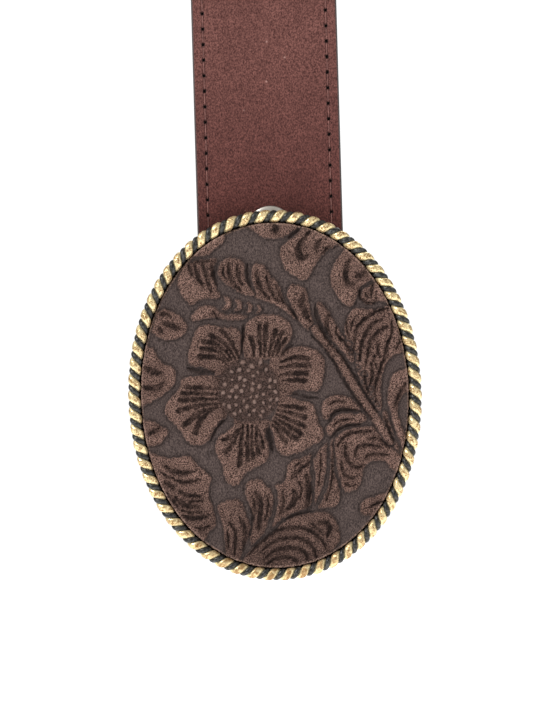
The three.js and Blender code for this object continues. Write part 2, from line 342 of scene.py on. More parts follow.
def linear(red, green, blue):
    """A colour given as 0 to 255 display values, as the linear values that a shader takes."""
    values = []
    for value in (red, green, blue):
        share = value / 255
        values.append(share / 12.92 if share <= 0.04045 else ((share + 0.055) / 1.055) ** 2.4)
    return tuple(values)


# ------------------------------------------------------------------ materials

# Painted shade: the buckle's face is painted darker toward its lower edge, from the first of these heights to
# the second.
LOWER_EDGE_START = (CENTRE_Z_MM - 18) * MM
LOWER_EDGE_END = (CENTRE_Z_MM - 48) * MM

# Painted shade: the strap is painted darker from the first of these heights down to the second and below, in
# metres, as the buckle's shade.
BUCKLE_SHADE_START = -0.02
BUCKLE_SHADE_END = -0.07

WORN_BRASS = linear(246, 226, 174)
# Tarnish colour, also used for painted shade toward the lower edge.
BRASS_TARNISH_AND_SHADE = linear(136, 94, 48)
BLACKENED = linear(30, 30, 30)
# Painted highlights on the dark strand.
BLACKENED_HIGHLIGHT = linear(92, 91, 86)
# Painted shadow for the gap round the leather.
GAP_SHADOW = linear(20, 18, 16)
NICKEL_LIGHT = linear(216, 211, 202)
NICKEL_DARK = linear(176, 168, 156)

NAP_DARK = linear(26, 17, 15)
NAP_LIGHT = linear(152, 120, 108)
NAP_SMUDGE = linear(48, 35, 32)
GROUND_DARK = linear(34, 27, 26)
GROUND_LIGHT = linear(92, 78, 74)
# Painted highlight on the ridges between veins.
RIDGE_HIGHLIGHT_COLOUR = linear(168, 136, 122)
# Colours of painted shade in the leather's hollows and at the foot of raised shapes.
PAINTED_SHADE_DARK = linear(8, 5, 4)
PAINTED_SHADE_LIGHT = linear(50, 37, 33)
# Painted highlight on the seed beads' tops.
SEED_HIGHLIGHT = linear(126, 106, 98)
# Painted shade toward the lower edge of the leather.
LOWER_EDGE_SHADE = linear(24, 16, 14)
FRAYED = linear(150, 124, 112)

LEATHER_SPECK = linear(190, 150, 140)
PAINTED_EDGE = linear(66, 58, 57)
# Painted shade in the needle holes.
NEEDLE_HOLE_SHADE = linear(8, 6, 6)
THREAD_DARK = linear(88, 50, 46)
THREAD_LIGHT = linear(128, 84, 76)
ADHESIVE_LIGHT = linear(150, 136, 104)
ADHESIVE_DARK = linear(120, 104, 74)


def bright_rope_material():
    """Bright brass, cream from wear on its flanks and mottled with tan where tarnished along its crown;
    toward the buckle's lower edge the crown is painted darker as painted shade.
    """
    paint = Paint("bright_rope", Metallic=0.75)
    crown = paint.remap(paint.attribute("crown"), 0.35, 0.9)
    patches = paint.remap(paint.noise(900, 3.0, 0.6), 0.34, 0.54)
    fine = paint.remap(paint.noise(3000, 2.0, 0.7), 0.38, 0.56)
    tarnish_and_shade = paint.times(patches, fine, crown)
    # Painted shade: the crown is painted darker toward the buckle's lower edge.
    lower = paint.remap(paint.height(), LOWER_EDGE_START, LOWER_EDGE_END, 0.0, 1.1)
    lower = paint.times(lower, paint.remap(patches, 0.0, 1.0, 0.25, 0.8))
    tarnish_and_shade = paint.maths("MAXIMUM", tarnish_and_shade, paint.times(lower, crown))
    colour = paint.mix(tarnish_and_shade, WORN_BRASS, BRASS_TARNISH_AND_SHADE)
    dents = paint.bump(paint.noise(1500, 3.0, 0.65), 0.6, 0.14)
    return paint.finished(colour, dents, paint.remap(tarnish_and_shade, 0.0, 1.0, 0.34, 0.55))


def dark_rope_material():
    """Blackened strand with grey painted highlights in patches."""
    paint = Paint("dark_rope", Metallic=0.5)
    # Grey patches painted into the colour as painted highlights.
    painted_glint = paint.remap(paint.noise(1500, 3.0, 0.6), 0.45, 0.75)
    colour = paint.mix(painted_glint, BLACKENED, BLACKENED_HIGHLIGHT)
    dents = paint.bump(paint.noise(1800, 3.0, 0.6), 0.4, 0.08)
    return paint.finished(colour, dents, paint.remap(painted_glint, 0.0, 1.0, 0.36, 0.5))


def brass_material(name, brushed_scale, light, dark):
    """Aged brass with faint brushing and darker patches, painted near black as painted shadow where the
    attribute gap_shadow says.
    """
    paint = Paint(name, Metallic=1.0)
    patches = paint.remap(paint.noise(110, 5.0, 0.65), 0.38, 0.7)
    lines = paint.noise(600, 2.0, 0.5, paint.stretched(brushed_scale))
    metal = paint.mix(patches, light, dark)
    # Painted shadow: near black where the plate's front shows through the gap round the leather.
    colour = paint.mix(paint.attribute("gap_shadow"), metal, GAP_SHADOW)
    rough = paint.maths("ADD", paint.remap(patches, 0, 1, 0.24, 0.42), paint.remap(lines, 0, 1, -0.05, 0.08))
    dents = paint.bump(paint.noise(900, 4.0), 0.15, 0.04)
    return paint.finished(colour, paint.bump(lines, 0.25, 0.03, dents), rough)


def nickel_material():
    """Dull nickel plate with fine wear scratches."""
    paint = Paint("snap_nickel", Metallic=1.0)
    patches = paint.remap(paint.noise(350, 4.0, 0.6), 0.4, 0.7)
    colour = paint.mix(patches, NICKEL_LIGHT, NICKEL_DARK)
    scratches = paint.noise(900, 2.0, 0.5, paint.stretched((1.0, 1.0, 9.0)))
    return paint.finished(colour, paint.bump(scratches, 0.12, 0.02), paint.remap(patches, 0, 1, 0.26, 0.42))


def insert_material():
    """Embossed leather: napped and speckled where raised, smooth with a burnish in the background, with
    painted shade in its hollows and toward its lower edge, and painted highlights on the ridges and seed
    tops.
    """
    paint = Paint("embossed_leather", Specular_IOR_Level=0.1)
    raised = paint.attribute("raised")
    speckle = paint.remap(paint.noise(3400, 2.0, 0.8), 0.42, 0.64)
    broad = paint.remap(paint.noise(160, 3.0, 0.6), 0.3, 0.7)
    nap = paint.mix(speckle, NAP_DARK, NAP_LIGHT)
    nap = paint.mix(paint.times(broad, 0.35), nap, NAP_SMUDGE)
    fleck = paint.remap(paint.noise(2600, 3.0, 0.7, paint.stretched((1.3, 1.0, 0.8))), 0.34, 0.66)
    ground = paint.mix(fleck, GROUND_DARK, GROUND_LIGHT)
    colour = paint.mix(raised, ground, nap)
    # Painted highlight on the ridges beside the veins.
    colour = paint.mix(paint.times(paint.attribute("ridge_highlight"), speckle), colour, RIDGE_HIGHLIGHT_COLOUR)
    shade_colour = paint.mix(speckle, PAINTED_SHADE_DARK, PAINTED_SHADE_LIGHT)
    # Painted shade at the foot of raised shapes, in cuts and about the seeds.
    colour = paint.mix(paint.attribute("shade"), colour, shade_colour)
    # Painted highlight on the tops of the seed beads.
    colour = paint.mix(paint.attribute("seed"), colour, SEED_HIGHLIGHT)
    # Painted shade: darker toward the buckle's lower edge.
    lower_shade = paint.remap(paint.height(), LOWER_EDGE_START, LOWER_EDGE_END, 0.0, 0.5)
    lower_shade = paint.times(lower_shade, paint.remap(raised, 0.0, 1.0, 0.25, 1.0))
    colour = paint.mix(lower_shade, colour, LOWER_EDGE_SHADE)
    frayed = paint.times(paint.attribute("rim"), paint.remap(paint.noise(2200, 2.0, 0.7), 0.45, 0.6))
    colour = paint.mix(frayed, colour, FRAYED)
    grain = paint.bump(paint.noise(3800, 3.0, 0.7), 0.7, 0.12)
    return paint.finished(colour, grain, paint.remap(raised, 0, 1, 0.55, 0.9))


def strap_material(name, light, dark, buckle_shade_tint):
    """Napped leather with an upright streaky grain, needle holes painted black as painted shade, a dark
    painted edge, and painted shade toward the buckle.
    """
    paint = Paint(name, Specular_IOR_Level=0.2, Sheen_Weight=0.15, Sheen_Roughness=0.5)
    streaks = paint.noise(2500, 4.0, 0.8, paint.stretched((1.1, 1.0, 0.8)))
    broad = paint.remap(paint.noise(80, 6.0, 0.7), 0.32, 0.68)
    colour = paint.mix(paint.remap(streaks, 0.39, 0.71), dark, light)
    colour = paint.mix(paint.times(broad, 0.32), colour, dark)
    # Painted shade: the strap is painted darker toward the buckle.
    buckle_shade = paint.remap(paint.height(), BUCKLE_SHADE_START, BUCKLE_SHADE_END, 0.0, 0.58)
    colour = paint.mix(buckle_shade, colour, buckle_shade_tint, "MULTIPLY")
    specks = paint.remap(paint.cells(190), 0.07, 0.03)
    colour = paint.mix(paint.times(specks, 0.4), colour, LEATHER_SPECK)
    colour = paint.mix(paint.attribute("edge"), colour, PAINTED_EDGE)
    # The needle holes are painted near black as painted shade in the holes.
    colour = paint.mix(paint.attribute("pit"), colour, NEEDLE_HOLE_SHADE)
    rough = paint.remap(paint.attribute("edge"), 0, 1, 0.9, 0.5)
    return paint.finished(colour, paint.bump(streaks, 0.45, 0.08), rough)


def thread_material():
    """Waxed reddish thread with its twist."""
    paint = Paint("stitch_thread", Roughness=0.65)
    twist = paint.noise(2500, 2.0, 0.5, paint.stretched((1.0, 1.0, 0.6)))
    colour = paint.mix(paint.remap(twist, 0.35, 0.65), THREAD_DARK, THREAD_LIGHT)
    return paint.finished(colour, paint.bump(twist, 0.5, 0.05))


def adhesive_material():
    """Dried adhesive, smeared lighter and darker."""
    paint = Paint("dried_adhesive", Roughness=0.45)
    smear = paint.remap(paint.noise(300, 4.0, 0.6), 0.35, 0.65)
    colour = paint.mix(smear, ADHESIVE_LIGHT, ADHESIVE_DARK)
    return paint.finished(colour, paint.bump(smear, 0.3, 0.1))


BRIGHT_ROPE = bright_rope_material()
DARK_ROPE = dark_rope_material()
PLATE_BRASS = brass_material("plate_brass", (1.0, 1.0, 12.0), linear(206, 184, 138), linear(150, 124, 84))
WIRE_BRASS = brass_material("wire_brass", (6.0, 1.0, 1.0), linear(212, 190, 144), linear(160, 134, 92))
NICKEL = nickel_material()
EMBOSSED = insert_material()
STRAP_LEATHER = strap_material("strap_leather", linear(141, 93, 85), linear(54, 24, 21), (0.38, 0.1, 0.1))
LINING_LEATHER = strap_material("lining_leather", linear(134, 98, 74), linear(102, 70, 50), (0.6, 0.45, 0.4))
THREAD = thread_material()
ADHESIVE = adhesive_material()

# ------------------------------------------------------------------ the flower pattern
# Closed outlines, x right and z up from the oval's middle, in millimetres. Each is smoothed into a curve.

FLOWER = (-6.7, 1.4)
SEED_DISC_RADIUS = 8.5
SEED_COUNT = 48

TOP_LOBE = [
    (-8, 46), (-6.6, 44), (-5, 42.6), (-3, 41), (-0.6, 40.4), (2, 40.6), (3.8, 41.2), (5.6, 42.4),
    (7, 43.8), (8, 46),
]
TOP_LEFT_CORNER = [
    (-23, 38), (-20, 36.2), (-16.8, 36.5), (-14.6, 38.2), (-12.8, 39.8), (-12.2, 41.6), (-14, 45),
]
UPPER_SCROLL = [
    (1.8, 36.8), (2.2, 38.6), (4, 40.2), (6, 41.6), (7.4, 43.2), (9, 45), (15, 44), (18.4, 40),
    (16.6, 38.4), (14.4, 37.2), (12.4, 35.2), (11, 33.2), (10, 31.2), (8.8, 29.8), (7.4, 29.5), (5.8, 30.4),
    (4, 31.6), (2.6, 33.2),
]
RIGHT_SCROLL = [
    (20, 39.4), (17.6, 36.6), (15.8, 34.2), (14.8, 31.6), (14.7, 29.4), (15.4, 27), (16.6, 25), (18, 23.2),
    (19.4, 22.5), (20.8, 22.9), (21.6, 24.4), (22, 26), (22.8, 27.6), (25, 29), (28, 29.8), (31, 29),
    (27, 35), (23, 39),
]
SPROUT = [
    (22.7, 26.4), (23.8, 27.6), (26.4, 28.8), (29.6, 28.4), (32, 24), (29.6, 23.2), (27.2, 23.8),
    (25.4, 23), (23.6, 23.2), (22.6, 24.6),
]
SHOULDER_LOBE = [
    (-24.9, 29.4), (-24.4, 31.8), (-22.4, 34.6), (-19.6, 35.4), (-16.6, 35.8), (-14.6, 35.8), (-14.4, 34.8),
    (-15.2, 33), (-14.9, 30), (-14.3, 27.6), (-13.6, 26), (-14.6, 25), (-17, 25.2), (-19.4, 24.6),
    (-21.2, 23.4), (-22.6, 24.5), (-24.2, 26.8),
]
SPRAY_LEFT = [
    (-14.5, 32.4), (-13.9, 34.7), (-12, 35.9), (-9.6, 35.9), (-7.7, 35), (-7.1, 33.4), (-7.2, 31.4),
    (-6.6, 29.4), (-5.6, 27.9), (-4.7, 26.5), (-5.4, 25.7), (-7.2, 25.9), (-9, 26.7), (-10.6, 27.8),
    (-12.5, 28.9), (-13.9, 30.6),
]
SPRAY_RIGHT = [
    (-5.8, 31.6), (-5.5, 33.5), (-4.2, 34.4), (-2.7, 34.1), (-1.5, 32.8), (-0.4, 31), (0.8, 29.9),
    (1.9, 28.1), (2.5, 26), (3.2, 24), (4.6, 22), (6.2, 19.9), (5.6, 19.4), (3.4, 21.2), (1, 22.8),
    (-1.4, 24), (-3.4, 24.7), (-5.2, 25.5), (-5, 27.6), (-5.6, 29.4),
]
BUD = [
    (-31.8, 16.8), (-31, 20), (-29.8, 22.4), (-27.7, 22.9), (-25.1, 21.7), (-23.1, 19.9), (-22.3, 17.8),
    (-23.2, 16), (-25, 15), (-27.4, 14.5), (-29.6, 15.1),
]
SEPAL = [
    (-21.6, 20.2), (-21, 21.8), (-19.6, 23.2), (-17.4, 23.8), (-15.2, 23.2), (-13.6, 21.9), (-11.6, 21.4),
    (-9, 21.4), (-7.3, 20.9), (-6.7, 20.2), (-8, 19.5), (-10.4, 19.4), (-13, 19.7), (-15, 20.1), (-17, 20),
    (-19, 19.6), (-20.8, 19.4),
]
LEFT_SCROLL = [
    (-36, 14.6), (-33, 13.6), (-31, 12.4), (-29.8, 10.2), (-28.4, 8.8), (-26.6, 8.1), (-25.5, 6.6),
    (-25.4, 4.9), (-26, 3), (-27.6, 1.4), (-29.4, 0), (-31, -0.9), (-32.8, -1.8), (-36, -2),
]
LEFT_LOBE = [
    (-36, -5.6), (-33.6, -5.8), (-31.6, -6), (-30, -7), (-28, -8.2), (-27.6, -9.5), (-28.8, -11.1),
    (-30.1, -12.4), (-31.8, -12.8), (-36, -12.4),
]
LOWER_LEFT_LEAF = [
    (-34, -14), (-31, -14.6), (-28, -15.6), (-25, -15.4), (-22.3, -15.2), (-21, -16.8), (-19.4, -18.4),
    (-17.4, -20), (-16.7, -21.6), (-17.4, -23.6), (-17.3, -25.6), (-16.8, -27.4), (-16.2, -29.6),
    (-15.7, -32), (-15.9, -33.9), (-17.6, -35.4), (-19.6, -38), (-26, -36), (-32, -28), (-35, -20),
]
BOTTOM_LEAF = [
    (-15.6, -28.7), (-14.4, -27.4), (-12, -26.8), (-9.7, -26.8), (-8.7, -28), (-8.1, -30), (-7.3, -31.8),
    (-6.6, -33.6), (-6.8, -36), (-8, -38.4), (-9.2, -41), (-10.4, -44), (-13.4, -43), (-13.7, -40.4),
    (-13.9, -37.6), (-14, -35), (-14.6, -32.4), (-15.2, -30.4),
]
LOWER_SPRAY = [
    (-8.4, -24.9), (-8.2, -23), (-7, -21.9), (-5, -21.4), (-3.6, -22), (-2.6, -23.3), (-1.4, -24.2),
    (-0.8, -26), (-0.7, -28), (-1.2, -30.4), (-2.2, -33), (-3.2, -35.6), (-5, -37.6), (-7, -38.8),
    (-7.2, -36), (-6.4, -33.4), (-6.4, -31), (-7.2, -28.6), (-8, -26.6),
]
LOWER_LEAF = [
    (-0.4, -23.2), (1.5, -22.5), (2.4, -21), (2.8, -18.6), (3.6, -17.1), (5.6, -16.3), (7.8, -15.6),
    (9.4, -15), (8.9, -18), (9.1, -21), (9.3, -25), (9.1, -28.6), (7, -29.9), (4, -30.9), (1.6, -32.2),
    (-1.4, -34.6), (-0.6, -31), (0.2, -28), (0.1, -25.4),
]
HANGING_LEAF = [
    (9.5, -17.4), (10.4, -15.2), (12.2, -13), (13.2, -12.2), (13.3, -14.6), (13.2, -18.4), (12.7, -22),
    (11.6, -25.2), (10.6, -27.4), (9.8, -28.8), (9.8, -25), (9.9, -21),
]
TRAILING_LEAF = [
    (13.9, -12.6), (15.2, -10.8), (16, -12.2), (15.2, -16), (15.2, -19.6), (16.2, -23.4), (16.7, -26),
    (16.1, -28.3), (14.7, -29.5), (12.7, -29.6), (10.6, -29.4), (11.9, -26.8), (13.3, -23.4), (13.9, -19),
    (13.9, -15.4),
]
SHELL = [
    (-9, -43), (-6.4, -39.4), (-3.4, -37), (-0.6, -34.9), (2, -32.5), (4.6, -31.3), (8, -30.5), (11, -30.2),
    (13.4, -30.7), (15.1, -32.2), (16, -34.6), (16.4, -37), (15.8, -39), (13, -42), (8, -48), (-4, -48),
]
SMALL_LOBE = [
    (21.4, -29.4), (21.8, -28), (23.2, -27), (25.4, -26.4), (28.4, -25.4), (33, -25), (31, -31),
    (26.4, -33), (24, -31.8), (22.3, -31.6), (21.4, -30.6),
]
FAN_LEAF = [
    (18, 15.6), (18.4, 18.6), (19.6, 21.2), (21.2, 22.4), (24.2, 22.2), (26.8, 22), (29.6, 22.8),
    (32.6, 22.6), (35, 19), (36, 12.6), (33.8, 10.8), (31, 9.6), (29.4, 8), (28.4, 6), (27.8, 3), (27.6, 0),
    (27.9, -2.6), (27.4, -4.6), (26, -4), (24.6, -1.8), (23, 0.8), (21.8, 4), (20.8, 7.6), (19.9, 10.4),
    (18.6, 13),
]
EDGE_LOBE = [
    (29.9, 4), (31, 5.5), (33, 6.2), (37, 6.8), (37, 0.8), (33.6, -0.2), (32.3, -2.4), (31.9, -4.8),
    (32.6, -8), (33.8, -11), (33, -14.4), (31.9, -12.4), (30.6, -8.6), (29.6, -4.6), (29, -1.6),
    (29.2, 1.4),
]
EDGE_LEAF = [
    (27.8, -4.6), (28.9, -4.6), (29.9, -7.8), (31, -11.2), (32.2, -14.6), (32.6, -17), (30.6, -14.4),
    (28.8, -10.8), (27.6, -7.4),
]
HOOD = [
    (11.8, -3.5), (12.4, -1.6), (14, -0.5), (16, -0.1), (18.4, -0.3), (20, -1.1), (21.2, -2.4),
    (22.2, -3.8), (21.4, -4.4), (18, -4.1), (15.8, -4.3), (14.4, -5.4), (13.6, -6.7), (12.4, -6.2),
    (11.8, -5),
]
HOOD_BAND = [
    (13, -8.2), (14.6, -6.7), (16, -5.2), (18, -4.7), (20.6, -4.9), (22.8, -4.9), (23.8, -6.4),
    (22.9, -7.6), (20, -7.9), (17.6, -8.3), (15.8, -9.4), (14.2, -10.9), (13.1, -10.2),
]
SWIRL = [
    (15, -12), (17, -9.7), (19.6, -8.7), (22.6, -8.4), (25.4, -8.4), (27.6, -10.4), (29.6, -13.4),
    (32, -15.6), (34, -18), (32, -21), (29.6, -19.4), (27.9, -17.7), (25.7, -17.6), (23.8, -18.3),
    (22.6, -20), (22.2, -22.4), (21, -24.6), (19, -25.6), (17.5, -25.3), (16.5, -22.8), (15.6, -19),
    (15.2, -15.4),
]
STEM_LEFT_LOBE = [
    (3.4, 26.6), (3.8, 28.1), (5, 28.8), (6.8, 28.6), (8.2, 27.7), (9, 26.4), (9.3, 24.8), (9.5, 22.8),
    (10, 20.6), (10.6, 18.6), (11.4, 17), (10.2, 15.8), (8.6, 16.7), (7, 18), (6, 19.6), (5.2, 21.6),
    (4.2, 23.8), (3.5, 25.2),
]
STEM_RIGHT_LOBE = [
    (10.9, 23.6), (12.2, 24), (13.8, 22.4), (15.1, 20.5), (16.2, 18.4), (17.3, 16.2), (18.6, 14.2),
    (20.2, 11.4), (21, 8.6), (19.8, 8), (18.2, 10), (16.4, 12.2), (14.6, 14.4), (13, 17.4), (11.6, 20.4),
]
PETAL_UPPER_LEFT = [
    (-22.4, 8.6), (-22.4, 11), (-21.8, 13.4), (-21.2, 15.4), (-20.4, 17.2), (-19, 18.5), (-17, 18.8),
    (-14.6, 18.2), (-12, 18), (-10.2, 17.9), (-9, 17.1), (-8.3, 15.6), (-8.5, 13.2), (-8.6, 10.8),
    (-9.4, 8.6), (-11.8, 7.2), (-13.2, 5.4), (-15, 5), (-16.2, 6.2), (-18.6, 7.4), (-21, 7.6),
]
PETAL_TOP = [
    (-7.6, 18.2), (-6.6, 19.5), (-4.6, 20.7), (-2, 21.2), (1, 20.9), (3.4, 19.6), (4.8, 17.6), (4.9, 15.4),
    (4, 13.5), (2.6, 12.2), (1.6, 10.2), (-0.6, 9.4), (-3.4, 9), (-6.4, 9), (-8, 10), (-8.2, 12.6),
    (-8.1, 15.8),
]
PETAL_RIGHT = [
    (-0.8, 10.2), (2.6, 12), (6.6, 12.8), (9.6, 12.2), (11.8, 11), (13, 9.4), (13.2, 7.2), (12.8, 4.4),
    (12.2, 2.2), (11, 0.7), (8.6, 0.8), (6.8, 1.2), (5.2, 0.8), (3.6, -0.4), (1.6, -0.6), (-0.8, 1.4),
    (-1.6, 4), (-1.6, 7.4),
]
PETAL_LOWER_RIGHT = [
    (1.2, 0.4), (4, -0.2), (6.4, -1.2), (8.6, -1.7), (10.2, -2.6), (10.6, -4.4), (11.2, -6.6), (12.2, -8.6),
    (12.6, -10.8), (11.4, -12.4), (9, -13.6), (6.6, -14.9), (4, -15.7), (2, -15.9), (0.4, -14.6),
    (-0.3, -12.4), (-0.8, -10), (-1.8, -7.4), (-0.4, -5), (0.6, -2),
]
PETAL_BOTTOM = [
    (-12.2, -4.8), (-10.9, -6), (-11.3, -7.7), (-13, -9.2), (-14.5, -10.2), (-15.7, -11.8), (-15.8, -13.6),
    (-15.5, -15.3), (-14.5, -16.9), (-14, -18.6), (-13.8, -20.4), (-13, -22.3), (-11.6, -23.5),
    (-10.4, -23.5), (-9.2, -22.3), (-8, -20.6), (-6.4, -19.4), (-4, -18.2), (-2.4, -17), (-1.6, -15),
    (-1.8, -12.4), (-2.5, -10), (-1.6, -8), (-1.4, -6.4), (-4, -6), (-8, -6.4),
]
PETAL_LEFT = [
    (-13, 4.6), (-15.4, 5.4), (-18, 5.7), (-21, 5.4), (-23.5, 5.1), (-24.6, 3.6), (-25.2, 1.8), (-27, 0),
    (-28.4, -1.8), (-28.8, -3.6), (-28, -5.6), (-26.4, -7.2), (-24.8, -9), (-23.6, -11), (-22.4, -12.3),
    (-20.4, -12.9), (-18.4, -12.5), (-16.9, -11), (-15.9, -9), (-14.5, -7), (-12.6, -5.4), (-12.6, -3.4),
    (-13.8, -1), (-14, 2),
]

# The outlines are laid in this order, and each one cuts a groove round itself in those before it.
OUTLINES = [
    TOP_LEFT_CORNER, UPPER_SCROLL, TOP_LOBE, SPROUT, RIGHT_SCROLL, SHOULDER_LOBE, SPRAY_RIGHT, SPRAY_LEFT,
    BUD, SEPAL, LEFT_SCROLL, LEFT_LOBE, LOWER_LEFT_LEAF, BOTTOM_LEAF, LOWER_LEAF, LOWER_SPRAY, SHELL,
    HANGING_LEAF, TRAILING_LEAF, SMALL_LOBE, FAN_LEAF, EDGE_LEAF, EDGE_LOBE, SWIRL, HOOD_BAND, HOOD,
    STEM_LEFT_LOBE, STEM_RIGHT_LOBE,
]

# The petals run into each other and are parted only by cuts.
PETALS = [PETAL_UPPER_LEFT, PETAL_TOP, PETAL_RIGHT, PETAL_LOWER_RIGHT, PETAL_BOTTOM, PETAL_LEFT]

# Small crescents under the upper spray: (middle, height), each leaning to the right.
CRESCENTS = [((-12, 24.1), 3.7), ((-9.1, 23.5), 3.3), ((-6.3, 22.8), 2.9), ((-3.8, 22.3), 2.4)]
CRESCENT = [
    (-0.3, 0.52), (0.12, 0.46), (0.38, 0.1), (0.26, -0.32), (-0.12, -0.54), (-0.46, -0.46), (-0.16, -0.02),
]

# Small raised crumbs between the stem and the fan leaf: (middle, height).
CRUMBS = [
    ((17.8, 14.6), 1.5), ((19.4, 13), 1.9), ((20.2, 10.9), 1.4), ((21.7, 9.4), 1.8), ((21.6, 6.9), 1.5),
    ((23.3, 5.2), 1.7), ((23.2, 3.2), 1.2), ((24.8, 1.2), 1.6), ((24.9, -0.8), 1.2), ((26.2, -2.6), 1.6),
]
CRUMB = [(-0.1, 0.5), (0.42, 0.1), (0.3, -0.4), (-0.2, -0.45), (-0.5, 0.05)]

# The long stem from the upper middle to the right: its middle line.
STEM = [
    (10.6, 17), (13.4, 13.2), (16.3, 9.5), (18.6, 5.5), (20.8, 1.6), (23, -2), (25.2, -5.2), (27.2, -8.4),
    (29.6, -12.4),
]
STEM_HALF_WIDTH = 1.25

